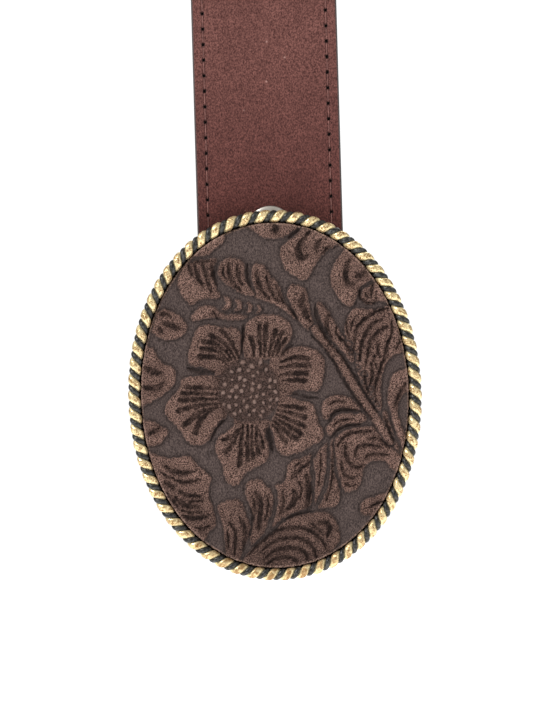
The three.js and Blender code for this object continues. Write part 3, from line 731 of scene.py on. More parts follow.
# Cut strokes: (points, widest half-width). Each tapers to both ends.
CUTS = [
    # upper lobes and scrolls
    ([(0.9, 45), (0.9, 43.4), (0.8, 42.2)], 1.05), ([(7.2, 43.4), (5.8, 42.2), (4, 40.6)], 0.4),
    ([(8, 40.6), (6.9, 38.4), (7, 36.3), (8, 35.6), (8.9, 36.2)], 0.95),
    ([(10, 43), (9.2, 41.8), (8.4, 40.6)], 0.5), ([(12.6, 40.2), (11.6, 38.7), (11.5, 37)], 0.65),
    ([(15.6, 38.6), (14, 37.9), (13, 36.6)], 0.3),
    ([(19.8, 34.8), (19, 32.4), (18.9, 30), (19.6, 28.6), (21, 28.5)], 0.75),
    ([(24.8, 31.6), (23, 30.9), (21.4, 30.4)], 0.85),
    ([(22.4, 27), (22.5, 25), (23.8, 23.7), (25.6, 23.5), (27, 24.3)], 0.35),
    ([(26, 28.8), (25.6, 27), (25.3, 25.2)], 0.5), ([(23.8, 26.4), (24.2, 25.4), (25, 24.8)], 0.3),
    ([(-22.2, 34.6), (-21.4, 33), (-20.8, 31.4)], 0.45), ([(-20.2, 34.2), (-19.5, 31), (-18, 28.2)], 0.6),
    ([(-18.2, 34.6), (-17.3, 31.4), (-15.9, 26.6)], 0.6),
    ([(-16, 34.4), (-15.4, 31.6), (-14.6, 28.6)], 0.55), ([(-20.8, 34.7), (-17.6, 35), (-14.8, 34.8)], 0.3),
    ([(-11.4, 34.4), (-11.4, 32), (-10.5, 29.6), (-8.5, 27.2)], 0.65),
    ([(-9.3, 33.8), (-8.9, 31), (-8, 28.6)], 0.55), ([(-6.6, 34.2), (-6.6, 31), (-5.6, 27.6)], 0.35),
    ([(-12.8, 33.6), (-12.9, 31.8), (-12.2, 30.4)], 0.3),
    ([(-4.2, 32.2), (-4, 29.8), (-3, 27.5), (-1, 25)], 0.7),
    ([(-1.7, 31), (-1, 28.2), (0.4, 25.6), (1.6, 23.9)], 0.6), ([(0.6, 28.6), (1.6, 26.2), (2.6, 24)], 0.3),
    # bud and left edge
    ([(-29.4, 21.3), (-28, 21.5), (-26.8, 21.1)], 0.6),
    ([(-28.6, 19.1), (-26.4, 18.4), (-24.2, 17.4)], 0.75),
    ([(-29.8, 18), (-29.3, 17.2), (-28.8, 16.8)], 0.6), ([(-15.8, 22.2), (-15.2, 21), (-14.6, 20.2)], 0.25),
    ([(-33.4, 7.8), (-31.6, 6.7), (-29.4, 6.1)], 0.85),
    ([(-34.4, 2.9), (-32, 2.2), (-30, 2.6), (-28.8, 3.8)], 0.8),
    ([(-32.8, -9.6), (-31.4, -8.8), (-30, -7.8)], 0.6),
    # lower left
    ([(-28.8, -17.8), (-26.6, -19.1), (-24.2, -19.7), (-21.6, -19.4)], 0.65),
    ([(-26.2, -21.6), (-23.6, -22.2), (-20.6, -21.7)], 0.55),
    ([(-29, -21.6), (-27.6, -22.8), (-26.6, -24)], 0.65),
    ([(-25.4, -24.4), (-22.8, -25.5), (-19.8, -25.9)], 0.6),
    ([(-26.4, -25.8), (-24.4, -27.7), (-22.2, -28.5), (-20, -28.4)], 0.75),
    ([(-24.6, -30.8), (-21.6, -31.6), (-18, -31)], 0.75),
    ([(-21.4, -34), (-19.4, -34.2), (-17.6, -33.6)], 0.4),
    ([(-29.8, -19.6), (-28.2, -20.6), (-26.6, -21)], 0.4),
    ([(-28.4, -24.8), (-27, -26.6), (-25.6, -28.6)], 0.45),
    ([(-23.8, -27), (-21.4, -27.2), (-19.2, -26.9)], 0.3),
    ([(-24.6, -29.4), (-22.4, -30), (-19.4, -29.9)], 0.35),
    ([(-12.4, -32.6), (-11.1, -34.4), (-10.8, -37), (-11.2, -41)], 0.5),
    ([(-9.8, -31.2), (-8.6, -33.4), (-8.3, -36.2), (-8.9, -40)], 0.5),
    ([(-12.9, -35), (-12.7, -37.4), (-12.7, -40)], 0.25),
    ([(-5.5, -25), (-4.4, -27), (-4.2, -29.6), (-4.8, -35)], 0.75),
    ([(-6.7, -29.4), (-6.3, -31.2), (-6.2, -33)], 0.4), ([(-2.4, -26), (-2.2, -29), (-3.2, -32.6)], 0.35),
    ([(-6.2, -26), (-5.8, -28), (-5.6, -30)], 0.25),
    # lower right
    ([(8.6, -17.3), (6.4, -19.2), (3.8, -21.2)], 0.6), ([(7.9, -20.6), (8.3, -24.6), (7.9, -29.4)], 0.85),
    ([(4.4, -24.6), (4.9, -26.4), (4.2, -28.2), (2.4, -29.6)], 0.85),
    ([(5.8, -22), (6.4, -24.4), (6, -27)], 0.3), ([(1.4, -25), (1.8, -28), (0.8, -31)], 0.35),
    ([(7.2, -16.8), (4.8, -18.6)], 0.3), ([(14.6, -16), (14.5, -20), (14, -24), (13, -27.4)], 0.3),
    ([(11.6, -15.4), (11.5, -19.4), (10.8, -24)], 0.25),
    ([(2.4, -32.2), (4.4, -31.2), (7, -30.5), (9.8, -30)], 0.3),
    ([
        (-7.6, -41.4), (-4.8, -38.5), (-2, -36.4), (0, -35), (3, -34.5), (6.2, -34.5), (9, -35.5),
        (11.2, -37.2), (13, -40.4),
    ], 0.5),
    ([
        (-4.4, -40.6), (-2, -38.6), (0.4, -37.4), (3.2, -37), (6, -37.3), (8.4, -38.6), (9.8, -41),
        (10.2, -43),
    ], 0.5),
    ([(-3.6, -42.6), (-1.2, -40.6), (1.4, -39.7), (4, -39.7), (6.4, -40.4), (7.7, -42), (7.6, -44)], 0.55),
    ([(-3.6, -44.6), (-1, -42.6), (2, -42), (4.6, -42.8), (5.4, -44.6)], 0.5),
    ([(11, -33), (12.8, -33.4), (13.7, -34.7), (13.1, -36.8)], 0.7),
    ([(8.6, -33), (10.6, -34.8), (12, -36.4)], 0.3),
    # fan, stem and right edge
    ([(20.4, 10.4), (20.9, 14.6), (21.8, 17.6), (24, 19.7), (26.8, 21.3), (30.6, 22.3)], 0.5),
    ([(22, 8.6), (22.7, 13), (24.4, 16.6), (26, 18.4), (28, 19.4)], 0.55),
    ([(23.6, 7), (24.5, 12), (26.2, 15.2), (28.2, 16.8), (29.6, 17.4)], 0.55),
    ([
        (30.5, 18.8), (30.5, 15.8), (29.4, 12.8), (28.6, 9.8), (27.2, 6), (26.3, 3), (25.9, 0),
        (26.2, -2.4),
    ], 0.45),
    ([(26.8, 13), (26.7, 11), (27.6, 9.6)], 0.4), ([(25, 8), (25.3, 5), (24.4, 2)], 0.5),
    ([(23.4, 5.6), (23.6, 2.4), (24.4, 0)], 0.5), ([(19, 19.6), (18.8, 17.2), (19.6, 14.4)], 0.3),
    ([(32.4, 17), (32.6, 13.6), (31.4, 11.4)], 0.35), ([(21.9, 20.8), (20.6, 19), (19.8, 16.4)], 0.25),
    ([(26, 10.6), (25.8, 8.6), (26.6, 6.4)], 0.35),
    ([(33.9, 2.6), (32.6, 0.6), (31.6, -1.6), (31.1, -3.6)], 0.5),
    ([(28.2, -5.8), (29.4, -9.4), (30.6, -12.8)], 0.35),
    ([(9.6, 15.4), (12.4, 12.8), (15, 9.1), (17.4, 4.7), (19.8, 0.5), (22.4, -3.2), (25, -6.5)], 0.35),
    ([(15, 12.4), (17.2, 10.3), (19.2, 7.2), (21.1, 4.2), (22.7, 1.4), (24.5, -1.6), (26.2, -4.6)], 0.35),
    ([(10.8, 23.2), (10.9, 20.8), (12, 17.8), (13.6, 14.7), (15.4, 12)], 0.5),
    ([(14.6, 21), (13.7, 18.7), (14, 16.6), (15, 14.8)], 0.65),
    ([(17.2, 14.8), (18.8, 12.8), (20, 10.6)], 0.35), ([(16.2, 17.6), (16.4, 15.6), (17.4, 13.6)], 0.3),
    ([(7.8, 26), (7.3, 23.8), (8, 21.6), (9.2, 19.2)], 0.85), ([(4, 23.2), (5.3, 21), (6.4, 19.4)], 0.35),
    # scrolls right of the flower
    ([(14, -6.8), (14.9, -4.9), (17, -3.9), (19.6, -4.1), (22.4, -4.5)], 0.45),
    ([(14.2, -11.2), (16.3, -9), (18.8, -8.1), (22, -7.8)], 0.4),
    ([(15.7, -13.4), (18.2, -10.7), (21, -9.9), (24.6, -9.7)], 0.5),
    ([(17.9, -13.2), (18.1, -15.6), (19, -17.7), (20.4, -18.9), (22, -18.7)], 0.55),
    ([(20.5, -16.2), (21, -14), (23, -13.3), (26, -13.4), (27.6, -14)], 0.45),
    ([(23, -16.8), (24.2, -15.8), (26.4, -15.6), (28.8, -15.9)], 0.4),
    ([(16.9, -17.2), (17.2, -19.6), (18.4, -21.4), (20.2, -22)], 0.45),
    ([(24, -11.4), (27, -11.8), (29.4, -14)], 0.35), ([(17.6, -23), (19, -23.8), (20.4, -23.6)], 0.3),
    ([(13.6, -2.8), (15.8, -1.8), (18.6, -2)], 0.25), ([(23.8, -29.6), (25.6, -28.6), (27.6, -28)], 0.35),
    ([(14.6, -8.2), (17, -6.8), (20.4, -6.4)], 0.25),
    # slots between petals
    ([(-22.4, 7.4), (-19.4, 6.5), (-15.6, 6.3)], 0.65), ([(4, 0.5), (6.4, 0), (9, -0.7), (11, -0.9)], 0.4),
    ([(-16.8, -11.4), (-15.7, -8.8), (-14.1, -6.9), (-12.6, -5.9)], 0.35),
    ([(-2.4, -7.6), (-1.6, -10.6), (-0.9, -14.4)], 0.6), ([(-7.9, 18.6), (-7.9, 15.6), (-8.5, 11.4)], 0.35),
    ([(1.6, 10), (2.9, 11.6), (4.8, 13)], 0.35),
]

# Veins of the petals, cut like the strokes above but blunt at the end away from the flower's middle.
VEINS = [
    ([(-19.4, 10.3), (-16.8, 10.3), (-14.2, 9.8), (-12.2, 8.4)], 0.7),
    ([(-18.8, 12.4), (-16.4, 12.2), (-13.9, 11.1), (-12, 9.2)], 0.65),
    ([(-18.2, 14.2), (-15.5, 13.7), (-13, 12), (-11, 9.6)], 0.65),
    ([(-16.6, 16), (-13.6, 14.2), (-11.6, 12), (-10, 9.6)], 0.6),
    ([(-13.4, 17), (-11.5, 14.8), (-10.2, 12.2), (-9.2, 10)], 0.6),
    ([(-6, 15.2), (-5.4, 12.8), (-5.2, 10.4)], 0.65), ([(-3.8, 18.2), (-3.7, 14.6), (-3.6, 10.2)], 0.6),
    ([(-2, 18.4), (-2.2, 14.6), (-2.5, 10)], 0.65), ([(0.6, 17), (-0.5, 13.8), (-1.4, 10.2)], 0.6),
    ([(2.2, 16.4), (0.8, 13.8), (-0.4, 10.4)], 0.6), ([(3, 14.4), (1.6, 12.6), (0.4, 10.4)], 0.5),
    ([(1.6, 8.6), (5, 9.7), (8.6, 9.5)], 0.65), ([(1.4, 7.1), (4.8, 7.7), (9, 7.6)], 0.65),
    ([(1.8, 5.4), (4.8, 5.6), (8.4, 5.7)], 0.7), ([(1.9, 3.8), (5, 3.9), (8, 3.7)], 0.65),
    ([(0.8, -2.6), (4.2, -3), (7.6, -3.6)], 0.65), ([(0.8, -3.8), (4, -4.7), (7.8, -5.9)], 0.6),
    ([(0.4, -4.8), (3.8, -6.4), (7.6, -8.2)], 0.6), ([(0, -5.8), (3.2, -7.9), (6.8, -10.2)], 0.65),
    ([(-0.4, -6.6), (2.2, -9), (5.2, -11.2)], 0.65), ([(-0.8, -7.4), (0.9, -9.4), (2.6, -12)], 0.6),
    ([(-5, -7.4), (-5, -11), (-4.5, -15)], 0.6), ([(-6.1, -7.6), (-6.1, -12), (-6, -16.2)], 0.5),
    ([(-7.2, -7.6), (-7.4, -12), (-7.2, -16.4)], 0.6), ([(-8.4, -7.6), (-8.9, -12.4), (-9.5, -18)], 0.65),
    ([(-9.2, -8.6), (-10.8, -11.9), (-12.9, -14.6)], 0.65),
    ([(-9.8, -8.6), (-11, -10.2), (-13.3, -11.2)], 0.55), ([(-4.2, -9), (-3.6, -11.4), (-3.2, -13.4)], 0.4),
    ([(-14, 1.8), (-18.5, 2.3), (-23, 2.5)], 0.65), ([(-14, 0.5), (-18.8, 0.8), (-24, 1)], 0.6),
    ([(-14.2, -0.8), (-19, -0.7), (-24.6, -0.8)], 0.65), ([(-14.4, -1.9), (-19, -2.2), (-25, -3.6)], 0.65),
    ([(-14.8, -2.8), (-19.5, -4.2), (-23.4, -7.2)], 0.75),
    ([(-16.4, -3.6), (-19.3, -6), (-20.8, -9.4)], 0.75),
]


def smooth_line(points, closed, per_span=8):
    """A curve through the points: Catmull-Rom, sampled per_span times in each span."""
    p = np.asarray(points, float)
    if closed:
        p = np.vstack([p[-1], p, p[0], p[1]])
    else:
        p = np.vstack([2 * p[0] - p[1], p, 2 * p[-1] - p[-2]])
    t = np.linspace(0, 1, per_span, endpoint=False)[:, None]
    spans = []
    for a, b, c, d in zip(p[:-3], p[1:-2], p[2:-1], p[3:]):
        bow = (2 * a - 5 * b + 4 * c - d) * t**2
        twist = (3 * b - a - 3 * c + d) * t**3
        spans.append(0.5 * (2 * b + (c - a) * t + bow + twist))
    line = np.vstack(spans)
    return line if closed else np.vstack([line, p[-2]])


def segment_distance(points, start, end):
    """Distance from each point to a segment, and the share of the way along it."""
    along = end - start
    share = np.clip(((points - start) @ along) / max(along @ along, 1e-9), 0, 1)
    return np.linalg.norm(points - start - share[:, None] * along, axis=1), share


def outline_distance(points, outline):
    """Distance to a closed outline, positive inside it."""
    distance = np.full(len(points), 1e9)
    inside = np.zeros(len(points), bool)
    for start, end in zip(outline, np.roll(outline, -1, 0)):
        distance = np.minimum(distance, segment_distance(points, start, end)[0])
        crosses = (start[1] > points[:, 1]) != (end[1] > points[:, 1])
        rise = end[1] - start[1] if abs(end[1] - start[1]) > 1e-9 else 1e-9
        at = start[0] + (points[:, 1] - start[1]) * (end[0] - start[0]) / rise
        inside ^= crosses & (points[:, 0] < at)
    return np.where(inside, distance, -distance)


def line_distance(points, line):
    """Distance from each point to an open line, and the share of the way along it."""
    distance = np.full(len(points), 1e9)
    along = np.zeros(len(points))
    for i, (start, end) in enumerate(zip(line[:-1], line[1:])):
        reach, share = segment_distance(points, start, end)
        closer = reach < distance
        distance = np.where(closer, reach, distance)
        along = np.where(closer, (i + share) / (len(line) - 1), along)
    return distance, along


def bell(distance, middle, spread):
    """1 at the middle distance, fading to 0 on both sides."""
    return np.exp(-(((distance - middle) / spread) ** 2))


def near(points, line, margin):
    """The numbers of the points that lie in the line's box, widened by the margin."""
    low, high = line.min(0) - margin, line.max(0) + margin
    return np.flatnonzero(((points > low) & (points < high)).all(1))


# Raised shapes: the groove round each, the slope up to it, the dome over it, how far outside its outline
# older cuts are cleared, how wide the painted shade at its foot and the soft painted shade are, and how far
# out it is worked.
GROOVE_MM = 0.55
SLOPE_MM = 0.55
DOME_MM = 1.8
DOME_RISE = 0.28
CLEAR_MM = 0.3
FOOT_MM = 0.22
SOFT_MM = 0.85
REACH_MM = 2.5
CUT_REACH_MM = 1.6

# Beside a cut: how far the painted shade spreads, and where the painted highlight on the ridges between veins
# lies.
BESIDE_MM = 0.55
RIDGE_OFFSET_MM = 0.32
RIDGE_MM = 0.18

# Unevenness of hand work: edges wander and the shade varies in strength.
WAVES = 40
EDGE_WANDER_MM = 0.13
EDGE_WAVES_MM = (0.9, 2.6)
SHADE_SPREAD = 0.22
SHADE_WAVES_MM = (1.5, 7.0)
SHADE_LIMITS = (0.3, 1.15)

# How dark the painted shade makes the leather, from 0 to 1: at the foot of raised shapes, in cuts and about
# the seeds.
FOOT_SHADE = 0.75
SOFT_SHADE = 0.34
CUT_SHADE = 0.85
BESIDE_SHADE = 0.42
AROUND_SEEDS_SHADE = 0.34
SEED_GROUND_SHADE = 0.62
SEED_RING_SHADE = 0.75

# How strong the painted highlight on the ridges between the petals' veins is.
VEIN_RIDGE_HIGHLIGHT = 0.35

SEED_JITTER_MM = 0.35
SEED_SIZES_MM = (0.38, 0.68)
# How strong each bead's painted highlight is, at least and at most.
SEED_HIGHLIGHTS = (0.4, 0.8)


def wavy_field(points, shortest, longest, random):
    """A smooth random field about zero, made of waves that run in all directions."""
    field = np.zeros(len(points))
    for _ in range(WAVES):
        heading = random.uniform(0, 2 * np.pi)
        length = random.uniform(shortest, longest)
        across = points @ np.array([math.cos(heading), math.sin(heading)])
        field += np.sin(2 * np.pi * across / length + random.uniform(0, 2 * np.pi))
    return field / math.sqrt(WAVES)


class Relief:
    """Raised height, groove depth, painted shade and painted highlights over the leather's surface points."""

    def __init__(self, points):
        """Starts level and unshaded. points are x and z in millimetres about the oval's middle."""
        self.points = points
        self.height = np.zeros(len(points))
        self.depth = np.zeros(len(points))
        self.shade = np.zeros(len(points))
        self.ridge_highlight = np.zeros(len(points))
        self.seed = np.zeros(len(points))
        random = np.random.default_rng(SEED + 1)
        self.wander = EDGE_WANDER_MM * wavy_field(points, *EDGE_WAVES_MM, random)
        self.strength = np.clip(1 + SHADE_SPREAD * wavy_field(points, *SHADE_WAVES_MM, random), *SHADE_LIMITS)

    def raise_distance(self, index, distance, foot_share=1.0):
        """Lifts the points that lie inside a shape, by their distance in from its outline."""
        distance = distance + self.wander[index]
        self.height[index] *= 1 - smooth_step(1 + distance / GROOVE_MM)
        self.depth[index] *= 1 - smooth_step(1 + distance / CLEAR_MM)
        dome = 1 - DOME_RISE + DOME_RISE * smooth_step(distance / DOME_MM)
        lifted = smooth_step(distance / SLOPE_MM) * dome * (distance > 0)
        self.height[index] = np.maximum(self.height[index], lifted)
        core = bell(distance, -0.08, FOOT_MM)
        soft = np.exp(-np.maximum(-distance, 0) / SOFT_MM) * (distance <= 0)
        foot = np.maximum(FOOT_SHADE * core * self.strength[index], SOFT_SHADE * soft)
        self.shade[index] = np.maximum(self.shade[index] * (distance < CLEAR_MM), foot_share * foot)

    def raise_outline(self, outline, foot_share=1.0):
        """Raises one closed shape. foot_share says how much of the usual painted shade at its foot it gets.
        """
        line = smooth_line(outline, True)
        index = near(self.points, line, REACH_MM)
        self.raise_distance(index, outline_distance(self.points[index], line), foot_share)

    def raise_joined(self, outlines):
        """Raises several overlapping shapes as one."""
        lines = [smooth_line(outline, True) for outline in outlines]
        index = near(self.points, np.vstack(lines), REACH_MM)
        distances = [outline_distance(self.points[index], line) for line in lines]
        self.raise_distance(index, np.max(distances, axis=0))

    def raise_band(self, middle, half_width):
        """Raises an even band about a middle line."""
        line = smooth_line(middle, False)
        index = near(self.points, line, REACH_MM)
        self.raise_distance(index, half_width - line_distance(self.points[index], line)[0])

    def cut(self, line, half_width, blunt=False):
        """A stroke pressed into the leather. It tapers to both ends, or if blunt only to its first."""
        index = near(self.points, line, half_width + CUT_REACH_MM)
        distance, along = line_distance(self.points[index], line)
        distance = np.maximum(distance + self.wander[index], 0)
        if blunt:
            width = half_width * (0.5 + 0.55 * smooth_step(along / 0.7))
        else:
            width = half_width * np.clip(np.sin(np.pi * (0.06 + 0.88 * along)), 0, 1) ** 0.6 + 0.02
        depth = smooth_step((1.2 - distance / width) / 0.6)
        self.depth[index] = np.maximum(self.depth[index], depth)
        beside = BESIDE_SHADE * np.exp(-np.maximum(distance - width, 0) / BESIDE_MM)
        core = CUT_SHADE * self.strength[index] * smooth_step((1.25 - distance / width) / 0.55)
        self.shade[index] = np.maximum(self.shade[index], np.maximum(core, beside * (width > 0.12)))
        if blunt:
            # A painted highlight along the ridges beside each vein.
            crest_highlight = bell(distance - width, RIDGE_OFFSET_MM, RIDGE_MM)
            self.ridge_highlight[index] = np.maximum(self.ridge_highlight[index], VEIN_RIDGE_HIGHLIGHT * crest_highlight)

    def add_seeds(self):
        """Levels a disc in the flower's middle and sets beads on it, spread like a sunflower's seeds. The
        disc's ground and a ring round each bead get painted shade, and each bead's top a painted highlight.
        """
        away = np.linalg.norm(self.points - np.array(FLOWER), axis=1)
        disc = smooth_step((SEED_DISC_RADIUS + 0.5 - away) / 1.4)
        around = smooth_step((SEED_DISC_RADIUS + 4.5 - away) / 5) * (self.height > 0.3)
        self.shade = np.maximum(self.shade, AROUND_SEEDS_SHADE * around)
        self.height = self.height * (1 - disc) + 0.35 * disc
        self.depth *= 1 - disc
        self.ridge_highlight *= 1 - disc
        self.shade = self.shade * (1 - disc) + SEED_GROUND_SHADE * disc
        golden = math.pi * (3 - math.sqrt(5))
        random = np.random.default_rng(SEED)
        for i in range(SEED_COUNT):
            radius = (SEED_DISC_RADIUS - 0.8) * math.sqrt((i + 0.5) / SEED_COUNT)
            seed = np.array(FLOWER) + radius * np.array([math.cos(i * golden), math.sin(i * golden)])
            seed += random.uniform(-SEED_JITTER_MM, SEED_JITTER_MM, 2)
            reach = np.linalg.norm(self.points - seed, axis=1) + self.wander
            size = random.uniform(*SEED_SIZES_MM)
            bead = np.sqrt(np.clip(1 - (np.maximum(reach, 0) / size) ** 2, 0, 1))
            self.height += 0.6 * bead
            ring = bell(reach - size, 0.12, 0.2)
            self.shade = np.maximum(self.shade, SEED_RING_SHADE * ring * (disc > 0.5))
            self.shade *= 1 - bead
            # Painted highlight: each bead is painted lighter toward its top.
            self.seed = np.maximum(self.seed, random.uniform(*SEED_HIGHLIGHTS) * smooth_step(1.5 * bead - 0.4))


def carve_relief(points):
    """The whole pattern over the given points: raised shapes first, then cuts, then the seeds."""
    relief = Relief(points)
    for outline in OUTLINES:
        relief.raise_outline(outline)
    for middle, height in CRESCENTS:
        relief.raise_outline(np.array(middle) + height * np.array(CRESCENT))
    for middle, height in CRUMBS:
        relief.raise_outline(np.array(middle) + height * np.array(CRUMB), 0.3)
    relief.raise_joined(PETALS)
    relief.raise_band(STEM, STEM_HALF_WIDTH)
    for line, half_width in CUTS:
        relief.cut(smooth_line(line, False), half_width)
    for line, half_width in VEINS:
        away = np.linalg.norm(np.array(line) - np.array(FLOWER), axis=1)
        outward = line if away[0] < away[-1] else line[::-1]
        relief.cut(smooth_line(outward, False), half_width, blunt=True)
    relief.ridge_highlight *= 1 - relief.depth
    relief.add_seeds()
    return relief


# ------------------------------------------------------------------ buckle face

INSERT_CELLS = 296
RELIEF_MM = 0.7
CUT_DEPTH_MM = 0.36
NAP_MM = 0.03
PATTERN_TURN_DEGREES = -0.7
EDGE_REACH_MM = 0.15
EDGE_ROUND_MM = 0.35
EDGE_DROP_MM = 0.3
RIM_START_MM = 0.5
RIM_FADE_MM = 0.25
INSERT_BACK_GAP_MM = 0.35


def concentric_grid(cells):
    """Points of a square grid pulled out to fill a disc evenly, as (share of radius, angle)."""
    side = np.linspace(-1, 1, cells + 1)
    a, b = np.meshgrid(side, side, indexing="ij")
    a, b = a.ravel(), b.ravel()
    wide = np.abs(a) > np.abs(b)
    radius = np.where(wide, a, b)
    safe_a = np.where(a == 0, 1e-12, a)
    safe_b = np.where(b == 0, 1e-12, b)
    angle = np.where(wide, np.pi / 4 * b / safe_a, np.pi / 2 - np.pi / 4 * a / safe_b)
    angle = np.where(radius == 0, 0.0, angle)
    return radius, angle


def grid_faces(cells):
    """Quads between the points of a square grid that is numbered along its rows."""
    size = cells + 1
    corners = [i * size + j for i in range(cells) for j in range(cells)]
    return [(k, k + 1, k + size + 1, k + size) for k in corners]


def grid_border(cells):
    """The numbers of a square grid's outer points, once round."""
    size = cells + 1
    border = list(range(cells))
    border += [i * size + cells for i in range(cells)]
    border += [cells * size + j for j in range(cells, 0, -1)]
    border += [i * size for i in range(cells, 0, -1)]
    return border


def nap_field(cells):
    """A little random roughness on a square grid's points, shared with their neighbours."""
    nap = np.random.default_rng(SEED).normal(0, 1, (cells + 1, cells + 1))
    return ((nap + np.roll(nap, 1, 0) + np.roll(nap, 1, 1)) / 1.7).ravel()


def insert_front():
    """The worked face of the leather: its points and the attributes that its material reads."""
    radius, angle = concentric_grid(INSERT_CELLS)
    half_width = (INSERT_HIGH[0] - INSERT_LOW[0]) / 2 + EDGE_REACH_MM
    half_height = (INSERT_HIGH[2] - INSERT_LOW[2]) / 2 + EDGE_REACH_MM
    x = half_width * np.abs(radius) * signed_power(np.cos(angle) * np.sign(radius), 2 / OVAL_EXPONENT)
    z = half_height * np.abs(radius) * signed_power(np.sin(angle) * np.sign(radius), 2 / OVAL_EXPONENT)
    turn = math.radians(PATTERN_TURN_DEGREES)
    pattern_x = x * math.cos(turn) + z * math.sin(turn)
    pattern_z = z * math.cos(turn) - x * math.sin(turn)
    relief = carve_relief(np.stack([pattern_x, pattern_z], 1))
    raised = smooth_step(relief.height / SLOPE_MM)
    sunk = (1 - np.clip(relief.height, 0, 1)) * RELIEF_MM + relief.depth * CUT_DEPTH_MM
    sunk -= NAP_MM * nap_field(INSERT_CELLS) * (0.15 + 0.85 * raised) * (1 - relief.seed)
    edge = np.clip((1 - np.abs(radius)) * half_width / EDGE_ROUND_MM, 0, 1)
    sunk += EDGE_DROP_MM * (1 - np.sqrt(np.clip(1 - (1 - edge) ** 2, 0, 1)))
    y = INSERT_LOW[1] + bend_mm(z) + np.maximum(sunk, 0)
    rim = smooth_step((np.abs(radius) - 1 + RIM_START_MM / half_width) / (RIM_FADE_MM / half_width))
    shade = np.clip(relief.shade, 0, 1)
    attributes = {"raised": raised, "shade": shade, "ridge_highlight": relief.ridge_highlight, "seed": relief.seed, "rim": rim}
    return np.stack([x, y, z + CENTRE_Z_MM], 1), attributes


def insert_back(edge):
    """Points behind the leather: rings that narrow from its edge, then one middle point."""
    thickness = PLATE_LOW[1] - INSERT_LOW[1] - INSERT_BACK_GAP_MM
    rings = []
    for share in (1.0, 0.75, 0.5, 0.25):
        x = edge[:, 0] * share
        z = (edge[:, 2] - CENTRE_Z_MM) * share
        rings.append(np.stack([x, INSERT_LOW[1] + bend_mm(z) + thickness, z + CENTRE_Z_MM], 1))
    middle = np.array([[0, INSERT_LOW[1] + thickness, CENTRE_Z_MM]])
    return rings, middle


def build_insert():
    """The embossed leather: a finely divided front face, closed behind by a few plain rings."""
    front, attributes = insert_front()
    faces = grid_faces(INSERT_CELLS)
    border = grid_border(INSERT_CELLS)
    rings, middle = insert_back(front[border])
    points = np.vstack([front, *rings, middle])
    count = len(border)
    numbers = [border]
    for ring in range(len(rings)):
        numbers.append([len(front) + ring * count + j for j in range(count)])
    for j in range(count):
        k = (j + 1) % count
        for outer, inner in zip(numbers[:-1], numbers[1:]):
            faces.append((outer[j], outer[k], inner[k], inner[j]))
        faces.append((numbers[-1][j], numbers[-1][k], len(points) - 1))
    piece = make_object("embossed_insert", points, faces, EMBOSSED)
    for name, values in attributes.items():
        behind = np.full(len(points) - len(front), 1.0 if name == "raised" else 0.0)
        set_attribute(piece, name, np.concatenate([values, behind]))
    turn_out(piece)
    fit(piece, "insert_leather", "buckle", "leather_insert")


ROPE_TURNS = 62
ROPE_STEPS_PER_TURN = 20
ROPE_SIDES = 18

# Each strand's section radius, its offset from the rope's middle line and its section's exponent.
BRIGHT_STRAND = (1.05, 0.58, 2.7)
DARK_STRAND = (0.7, 0.84, 2.0)


def rope_line():
    """Evenly spaced points along the rope's middle line, with the directions to the front and outward."""
    fine = np.linspace(0, 2 * np.pi, 4001)
    x, z = oval_ring(HALF_WIDTH_MM - ROPE_RADIUS_MM, fine)
    path = np.stack([x, ROPE_Y_MM + bend_mm(z), z + CENTRE_Z_MM], 1)
    length = np.concatenate([[0], np.cumsum(np.linalg.norm(np.diff(path, axis=0), axis=1))])
    even = np.linspace(0, length[-1], ROPE_TURNS * ROPE_STEPS_PER_TURN, endpoint=False)
    middle = np.stack([np.interp(even, length, path[:, k]) for k in range(3)], 1)
    tangent = unit(np.roll(middle, -1, 0) - np.roll(middle, 1, 0))
    front = square_to(np.array([0.0, -1.0, 0.0]), tangent)
    outward = np.cross(front, tangent)
    if ((middle - np.array([0, 0, CENTRE_Z_MM])) * outward).sum() < 0:
        outward = -outward
    return middle, front, outward


def build_strand(name, phase, shape, material, *nodes):
    """One strand of the rope, wound about the rope's middle line."""
    radius, offset, exponent = shape
    middle, front, outward = rope_line()
    angle = phase - 2 * np.pi * ROPE_TURNS * np.arange(len(middle)) / len(middle)
    away = np.cos(angle)[:, None] * front + np.sin(angle)[:, None] * outward
    path = middle + away * offset
    piece = tube(name, path, radius, ROPE_SIDES, material, closed=True, guides=away, exponent=exponent)
    crown = np.cos(np.linspace(0, 2 * np.pi, ROPE_SIDES, endpoint=False))
    set_attribute(piece, "crown", np.tile(crown, len(middle)))
    fit(piece, "rope_metal", "buckle", *nodes)


def build_rope():
    """The twisted edge: a bright strand and a dark one, half a turn apart."""
    build_strand("rope_bright_strand", 0.0, BRIGHT_STRAND, BRIGHT_ROPE, "rope_trim")
    build_strand("rope_dark_strand", math.pi, DARK_STRAND, DARK_ROPE)


PLATE_MM = 1.4
PLATE_RIM_RADIUS_MM = 0.7
PLATE_SEGMENTS = 192

# A shallow line pressed round the plate's back: (distance in from the edge, depth).
PLATE_LINE_MM = ((0.6, 0), (2.6, 0), (2.9, 0.15), (3.3, 0.15), (3.6, 0))


def plate_profile(half):
    """(share of the half-width, y) from the front's middle, round the rolled rim, to the back's middle."""
    front, back = PLATE_LOW[1], PLATE_LOW[1] + PLATE_MM
    profile = [(share, front) for share in (0.0, 0.25, 0.5, 0.75, 1 - 0.5 / half)]
    for degrees in (-60, -30, 0, 30, 60):
        a = math.radians(degrees)
        inset = PLATE_RIM_RADIUS_MM * (1 - math.cos(a))
        profile.append((1 - inset / half, (front + back) / 2 + PLATE_RIM_RADIUS_MM * math.sin(a)))
    profile += [(1 - inset / half, back - depth) for inset, depth in PLATE_LINE_MM]
    profile += [(share, back) for share in (0.8, 0.6, 0.4, 0.2, 0.0)]
    return profile


